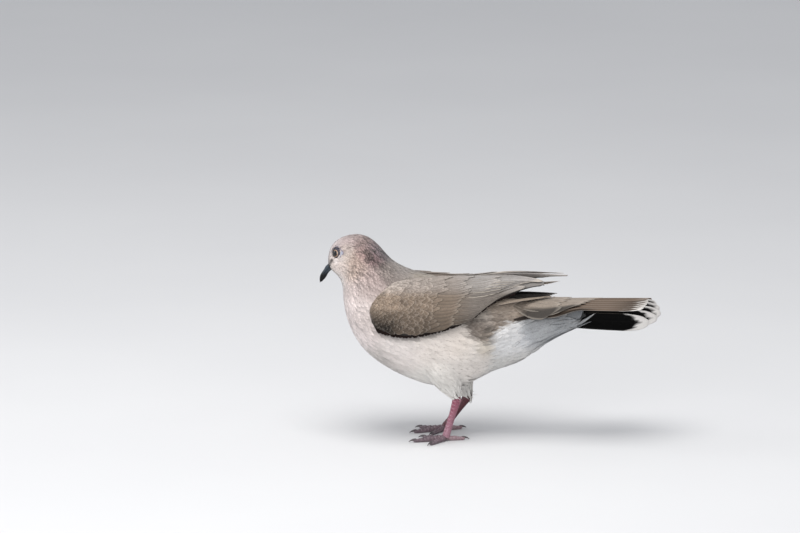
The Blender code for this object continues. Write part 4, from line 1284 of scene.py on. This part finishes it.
def eyeMaterial():
    # rings of colour by the distance from the middle of the pupil, as a share of the globe's radius
    stops = [(0.0, (0.003, 0.003, 0.004)), (0.45, (0.003, 0.003, 0.004)), (0.47, (0.2, 0.1, 0.05)),
             (0.51, (0.36, 0.22, 0.14)), (0.57, (0.46, 0.36, 0.29)), (0.6, (0.26, 0.19, 0.15)),
             (0.63, (0.02, 0.015, 0.012))]
    material, tree, shader = newMaterial("wetEye")
    uv = addNode(tree, "UVMap", {}, uv_map="vane").outputs[0]
    stretched = addNode(tree, "Mapping", {"Vector": uv, "Scale": (1, 0.25, 1)}).outputs[0]
    noise = addNode(tree, "TexNoise", {"Vector": stretched, "Scale": 40, "Detail": 4})
    ramp = addNode(tree, "ValToRGB", {0: addNode(tree, "SeparateXYZ", {0: uv}).outputs[1]})
    while len(ramp.color_ramp.elements) < len(stops):
        ramp.color_ramp.elements.new(0.5)
    for element, (at, colour) in zip(ramp.color_ramp.elements, stops):
        element.position, element.color = at, (*colour, 1)
    shade = mixColour(tree, mathNode(tree, "MULTIPLY", noise.outputs["Fac"], 0.45), ramp.outputs[0],
                      (0.35, 0.2, 0.12), "MULTIPLY")
    fillSockets(tree, shader, {"Base Color": shade, "Roughness": 0.25, "Specular IOR Level": 0.2,
                               "Coat Weight": 0.45, "Coat Roughness": 0.03})
    return material


def facingQuads(rings, around, ahead, up, axis):
    quads = gridFaces(rings, around, wrap=True)
    return quads if np.dot(np.cross(ahead, up), axis) > 0 else quads[:, ::-1]


globeMaterial = eyeMaterial()
lidMaterial = grainMaterial("bareSkin", tint=(0.16, 0.15, 0.2), smoothest=0.5, coat=0.05, specular=0.3)
globeWants = dict(rings=28, around=48, reach=100, setIn=0.25, bulge=0.32, bulgeWidth=0.55)
lidWants = dict(rings=26, around=72, overlap=0.9, clearance=0.12, above=0.3, tuck=0.5, wrinkle=0.05,
                # height, place and width of the ridges round the eye, as distances from its axis
                ridges=((0.42, 3.75, 0.42), (0.16, 4.75, 0.3)),
                rim=(22, 22, 28), bare=(160, 163, 176), outer=(124, 116, 124))


def makeGlobe(side, centre, axis, ahead, up):
    rings, around = globeWants["rings"], globeWants["around"]
    theta = np.linspace(0.0, math.radians(globeWants["reach"]), rings)[:, None]
    phi = np.linspace(0, 2 * math.pi, around, endpoint=False)[None]
    bulge = globeWants["bulge"] * np.exp(-(theta / globeWants["bulgeWidth"]) ** 4)
    r = (eyeWants["radius"] - globeWants["setIn"] + bulge)[..., None]
    direction = (np.cos(theta)[..., None] * axis + np.sin(theta)[..., None]
                 * (np.cos(phi)[..., None] * ahead + np.sin(phi)[..., None] * up))
    fromMiddle = np.sin(np.minimum(theta, math.pi / 2)) + 0 * phi
    uv = np.stack([phi / (2 * math.pi) + 0 * theta, fromMiddle], axis=-1).reshape(-1, 2)
    flatUv = 0.5 + 0.45 * theta[..., None] / theta.max() * np.stack([np.cos(phi), np.sin(phi)], axis=-1)
    points, quads = (centre + r * direction).reshape(-1, 3), facingQuads(rings, around, ahead, up, axis)
    makePiece("globe_" + side, points, quads, globeMaterial, vane=uv, bake=flatUv.reshape(-1, 2),
              stands=("eye_" + side,))


def makeLids(side, centre, axis, ahead, up):
    # lids and the bare skin round them, down to the skin of the face
    rings, around, lid = lidWants["rings"], lidWants["around"], eyeWants["lid"]
    k = np.linspace(0, 1, rings)[:, None]
    phi = np.linspace(0, 2 * math.pi, around, endpoint=False)[None]
    edge = bareReach(phi) + lidWants["overlap"]
    inner = eyeWants["iris"] + lidWants["clearance"]
    r = inner + (edge - inner) * k**1.1
    x, z = r * np.cos(phi), r * np.sin(phi)
    skinHeight = np.zeros((rings, around))
    for i, j in np.ndindex(rings, around):
        start = centre + x[i, j] * ahead + z[i, j] * up + axis * 9
        hit, _, _, _ = skinTree.ray_cast(Vector(start), Vector(-axis), 18)
        skinHeight[i, j] = (np.array(hit) - centre) @ axis if hit is not None else 0.0
    globe = np.sqrt(np.maximum(eyeWants["radius"] ** 2 - np.minimum(r, 4.55) ** 2, 0))
    blendIn = ease(lid - 0.2, lid + 1.0, r)
    height = globe * (1 - blendIn) + (skinHeight + lidWants["above"]) * blendIn
    for high, at, wide in lidWants["ridges"]:
        height = height + high * np.exp(-((r - at) / wide) ** 2)
    height = height - lidWants["tuck"] * ease(0.9, 1.0, k + 0 * r)
    height = height + lidWants["wrinkle"] * np.sin(phi * 26 + 3 * r) * ease(4.3, 4.8, r)
    points = (centre + x[..., None] * ahead + z[..., None] * up + height[..., None] * axis).reshape(-1, 3)
    skinward = ease(lid, 4.5, r.ravel())[:, None]
    pale = ease(-1.35, -0.95, (r - edge).ravel())[:, None]
    rim, bare, outer = (paint(*lidWants[name]) for name in ("rim", "bare", "outer"))
    colour = rim * (1 - skinward) + (bare * (1 - pale) + outer * pale) * skinward
    uv = np.stack([(0.5 + 0.05 * x).ravel(), (0.5 + 0.05 * z).ravel()], axis=1)
    quads = facingQuads(rings, around, ahead, up, axis)
    makePiece("lids_" + side, points, quads, lidMaterial, bake=uv, colour=colour)


for side, sign in (("left", -1), ("right", 1)):
    makeGlobe(side, *eyeFrame(sign))
    makeLids(side, *eyeFrame(sign))


print("legs")
legWants = dict(
    tarsus=[(0, 3.0), (0.12, 2.8), (0.3, 2.5), (0.6, 2.6), (0.82, 3.0), (0.95, 3.4), (1.02, 2.6)], shields=11,
    # the right leg, the far one, is painted a darker crimson as shade, and both turn paler towards the foot
    left=dict(upper=(148, 72, 94), lower=(168, 126, 140), seam=(190, 150, 162)),
    right=dict(upper=(84, 28, 40), lower=(90, 48, 58), seam=(120, 66, 78)),
    hubHeight=3.0, toeRoot=(128, 104, 112), toeTip=(104, 92, 100), hindToe=(176, 150, 154),
    toeSeam=(176, 160, 166), claw=(74, 66, 68))
# number, angle from straight ahead, length, radius at the root and at the tip, joints
toes = [(1, 176, 14, 2.1, 1.4, 2), (2, -36, 18.5, 2.1, 1.4, 3), (3, 0, 25, 2.3, 1.45, 4),
        (4, 40, 20, 2.1, 1.4, 5)]
legMaterial = grainMaterial("legScales", cells=True, scale=1100, share=0.9, tint=(0.3, 0.2, 0.24),
                            blend="MULTIPLY", bump=0.5, grainDepth=0.00015, smoothest=0.45, coat=0.12,
                            coatRoughness=0.03)
clawMaterial = grainMaterial("clawHorn", tint=(0.02, 0.018, 0.02), smoothest=0.3, coat=0.3)


def smooth(k, angle):
    return 0 * angle * k


def sweptTube(centres, radii, top, around, bump, squash=1.0):
    # a tube along points, kept above the ground; top is the direction its scales face, and bump(k, angle) is
    # the height added to the radius
    rows = len(centres)
    ahead = unit(np.gradient(centres, axis=0))
    side = unit(np.cross(ahead, np.broadcast_to(top, ahead.shape)))
    upward = np.cross(side, ahead)
    angle = np.linspace(0, 2 * math.pi, around, endpoint=False)[None]
    r = radii[:, None] + bump(np.arange(rows)[:, None], angle)
    points = (centres[:, None] + (r * np.cos(angle) * squash)[..., None] * side[:, None]
              + (r * np.sin(angle))[..., None] * upward[:, None])
    points[..., 2] = np.maximum(points[..., 2], 0)
    points = np.concatenate([points.reshape(-1, 3), centres[:1], centres[-1:]])
    caps = []
    for ring, middle in ((np.arange(around)[::-1], rows * around),
                         ((rows - 1) * around + np.arange(around), rows * around + 1)):
        caps.append(np.stack([ring, np.roll(ring, -1), np.full(around, middle)], axis=1))
    uv = gridUv(np.linspace(0.04, 0.96, rows), np.linspace(0.04, 0.96, around))
    uv = np.concatenate([uv, [[0.01, 0.5], [0.99, 0.5]]])
    return points, [gridFaces(rows, around, wrap=True), np.concatenate(caps)], uv


def shieldPlace(count, total, k, angle):
    # how far along its own plate each point lies, how much it is on top, and the small scales elsewhere
    on = ease(-0.1, 0.55, np.sin(angle))
    return (k / total * count) % 1.0, on, (1 - on) * np.sin(angle * 9 + k * 1.7) ** 2


def shields(count, total, height):
    # overlapping plates over the top, low at their front edge and stepping up at their back edge
    def bump(k, angle):
        saw, on, small = shieldPlace(count, total, k, angle)
        return height * on * (saw**0.6 - 0.5) - 0.06 * small
    return bump


def shieldColours(count, total, rows, around, plate, seam):
    # plates darker in the middle, with a pale seam at each step; the two end points take their rings' colours
    k, angle = np.arange(rows)[:, None], np.linspace(0, 2 * math.pi, around, endpoint=False)[None]
    saw, on, small = shieldPlace(count, total, k, angle)
    mask = (1 - ease(0.0, 0.2, saw)) + ease(0.82, 1.0, saw)
    mask = np.clip(mask * on + 0.35 * small, 0, 1)[..., None]
    return (plate[:, None] * (1 - mask) + seam * mask).reshape(-1, 3)


def makeTarsus(side, leg, hub):
    ankle, knee = np.array(leg["ankle"], float), np.array(leg["knee"], float)
    look, rows, plates = legWants[side], 120, legWants["shields"]
    t = np.linspace(0, 1.0, rows)
    centres = hub + (ankle - hub) * t[:, None]
    centres = np.concatenate([centres, ankle + (knee - ankle) * np.linspace(0.02, 0.16, 14)[:, None]])
    t = np.concatenate([t, 1 + np.linspace(0.004, 0.06, 14)])
    radii = np.interp(t, *zip(*legWants["tarsus"]))
    points, faces, uv = sweptTube(centres, radii, np.array([-1.0, 0, 0.2]), 40, shields(plates, rows, 0.34))
    high = ease(0, 0.9, t)[:, None]
    plate = paint(*look["upper"]) * high + paint(*look["lower"]) * (1 - high)
    colour = shieldColours(plates, rows, len(t), 40, plate, paint(*look["seam"]))
    colour = np.concatenate([colour, colour[:1], colour[-1:]])
    makePiece("tarsus_" + side + "_scales", points, faces, legMaterial, bake=uv, colour=colour,
              stands=("tarsus_" + side,))


def makeToe(side, leg, hub, number, splay, length, rootRadius, tipRadius, joints):
    ground, upright = hub * [1, 1, 0], np.array([0, 0, 1.0])
    turn = math.radians(leg["heading"] + splay)
    way = np.array([-math.cos(turn), leg["outwards"] * math.sin(turn), 0])
    rows, plates = 64, int(length * 0.75)
    t = np.linspace(0, 1, rows)
    rounded = np.where(t > 0.93, np.sqrt(1 - ((t - 0.93) / 0.075) ** 2 * 0.9), 1)
    knuckles = 1 + 0.07 * np.cos(t * joints * 2 * math.pi)
    radii = (rootRadius + (tipRadius - rootRadius) * t) * knuckles * rounded
    height = radii * 0.78 + 1.2 * (1 - t) ** 4
    centres = ground + way * (t * length)[:, None] + upright * height[:, None]
    points, faces, uv = sweptTube(centres, radii, upright, 28, shields(plates, rows - 1, 0.3))
    shade = paint(*legWants["toeRoot"]) * (1 - t[:, None]) + paint(*legWants["toeTip"]) * t[:, None]
    if number == 1:
        shade = paint(*legWants["hindToe"]) + 0 * shade
    colour = shieldColours(plates, rows - 1, rows, 28, shade * 0.8, paint(*legWants["toeSeam"]))
    colour = np.concatenate([colour, shade[:1], shade[-1:]])
    makePiece(f"toe_{side}_{number}_scales", points, faces, legMaterial, bake=uv, colour=colour,
              stands=(f"toe_{side}_{number}",))
    # the claw curves down to the ground from just inside the toe's tip
    t = np.linspace(0, 1, 22)
    height = 1.9 + 0.5 * np.sin(t * 2.2) - 1.75 * t**2
    centres = ground + way * (length - 1.6) + way * (t * 5.6)[:, None] + upright * height[:, None]
    radii = 1.12 * np.sqrt(np.clip(1 - t, 0.004, 1)) * (1 - 0.25 * t)
    points, faces, uv = sweptTube(centres, radii, upright, 16, smooth, squash=0.8)
    makePiece(f"claw_{side}_{number}", points, faces, clawMaterial, bake=uv,
              colour=np.broadcast_to(paint(*legWants["claw"]), points.shape))


for side, leg in legs.items():
    hub = np.array([*leg["hub"], legWants["hubHeight"]])
    makeTarsus(side, leg, hub)
    for toe in toes:
        makeToe(side, leg, hub, *toe)


print("stage and camera")
scene = bpy.context.scene


def stageFloor(half=14):
    material, tree, shader = newMaterial("paleFloor")
    noise = addNode(tree, "TexNoise", {"Vector": objectPlace(tree), "Scale": 3, "Detail": 3})
    colour = mixColour(tree, noise.outputs["Fac"], (0.6, 0.6, 0.61), (0.66, 0.66, 0.665))
    fillSockets(tree, shader, {"Base Color": colour, "Roughness": 0.75})
    corners = np.array([(-half, -half, 0), (half, -half, 0), (half, half, 0), (-half, half, 0)], float)
    mesh, _ = makeMesh("floor", corners, np.array([[0, 1, 2, 3]]))
    mesh.materials.append(material)
    floor = bpy.data.objects.new("floor", mesh)
    scene.collection.objects.link(floor)


stageFloor()


def aimed(name, data, place, direction):
    # a lamp or camera at a place, looking along a direction
    thing = bpy.data.objects.new(name, data)
    thing.location = place
    thing.rotation_mode = "QUATERNION"
    thing.rotation_quaternion = direction.to_track_quat("-Z", "Y")
    scene.collection.objects.link(thing)
    return thing


# where each lamp stands, what it is aimed at, its size, power and colour
lampWants = {
    "skylight": ((-0.15, -0.45, 1.6), (0, 0, 0.08), 1.2, 21.5, (1.0, 0.99, 0.97)),
    "fill": ((-0.7, -1.5, 0.5), (0, 0, 0.08), 1.2, 13.5, (1.0, 1.0, 1.0)),
    "front": ((-1.5, 0.15, 0.5), (-0.1, 0, 0.13), 0.25, 3.5, (1.0, 1.0, 1.0)),
}
for name, (place, aim, size, power, colour) in lampWants.items():
    light = bpy.data.lights.new(name, "AREA")
    light.shape, light.size, light.energy, light.color = "DISK", size, power, colour
    aimed(name, light, place, Vector(aim) - Vector(place))
world = bpy.data.worlds.new("paleWorld")
world.use_nodes = True
fillSockets(world.node_tree, world.node_tree.nodes["Background"],
            {"Color": (0.86, 0.88, 0.92, 1), "Strength": 0.69})
scene.world = world
scene.view_settings.view_transform = "Standard"

cameraWants = dict(aim=(-34.5, 0, 130.35), distance=5.0, elevation=12, lens=300)
camera = bpy.data.cameras.new("camera")
camera.lens, camera.sensor_width = cameraWants["lens"], 36
camera.clip_start, camera.clip_end = 0.1, 60
tilt = math.radians(cameraWants["elevation"])
back = Vector((0, -math.cos(tilt), math.sin(tilt)))
place = Vector(toFrame(cameraWants["aim"])) + back * cameraWants["distance"]
scene.camera = aimed("camera", camera, place, -back)
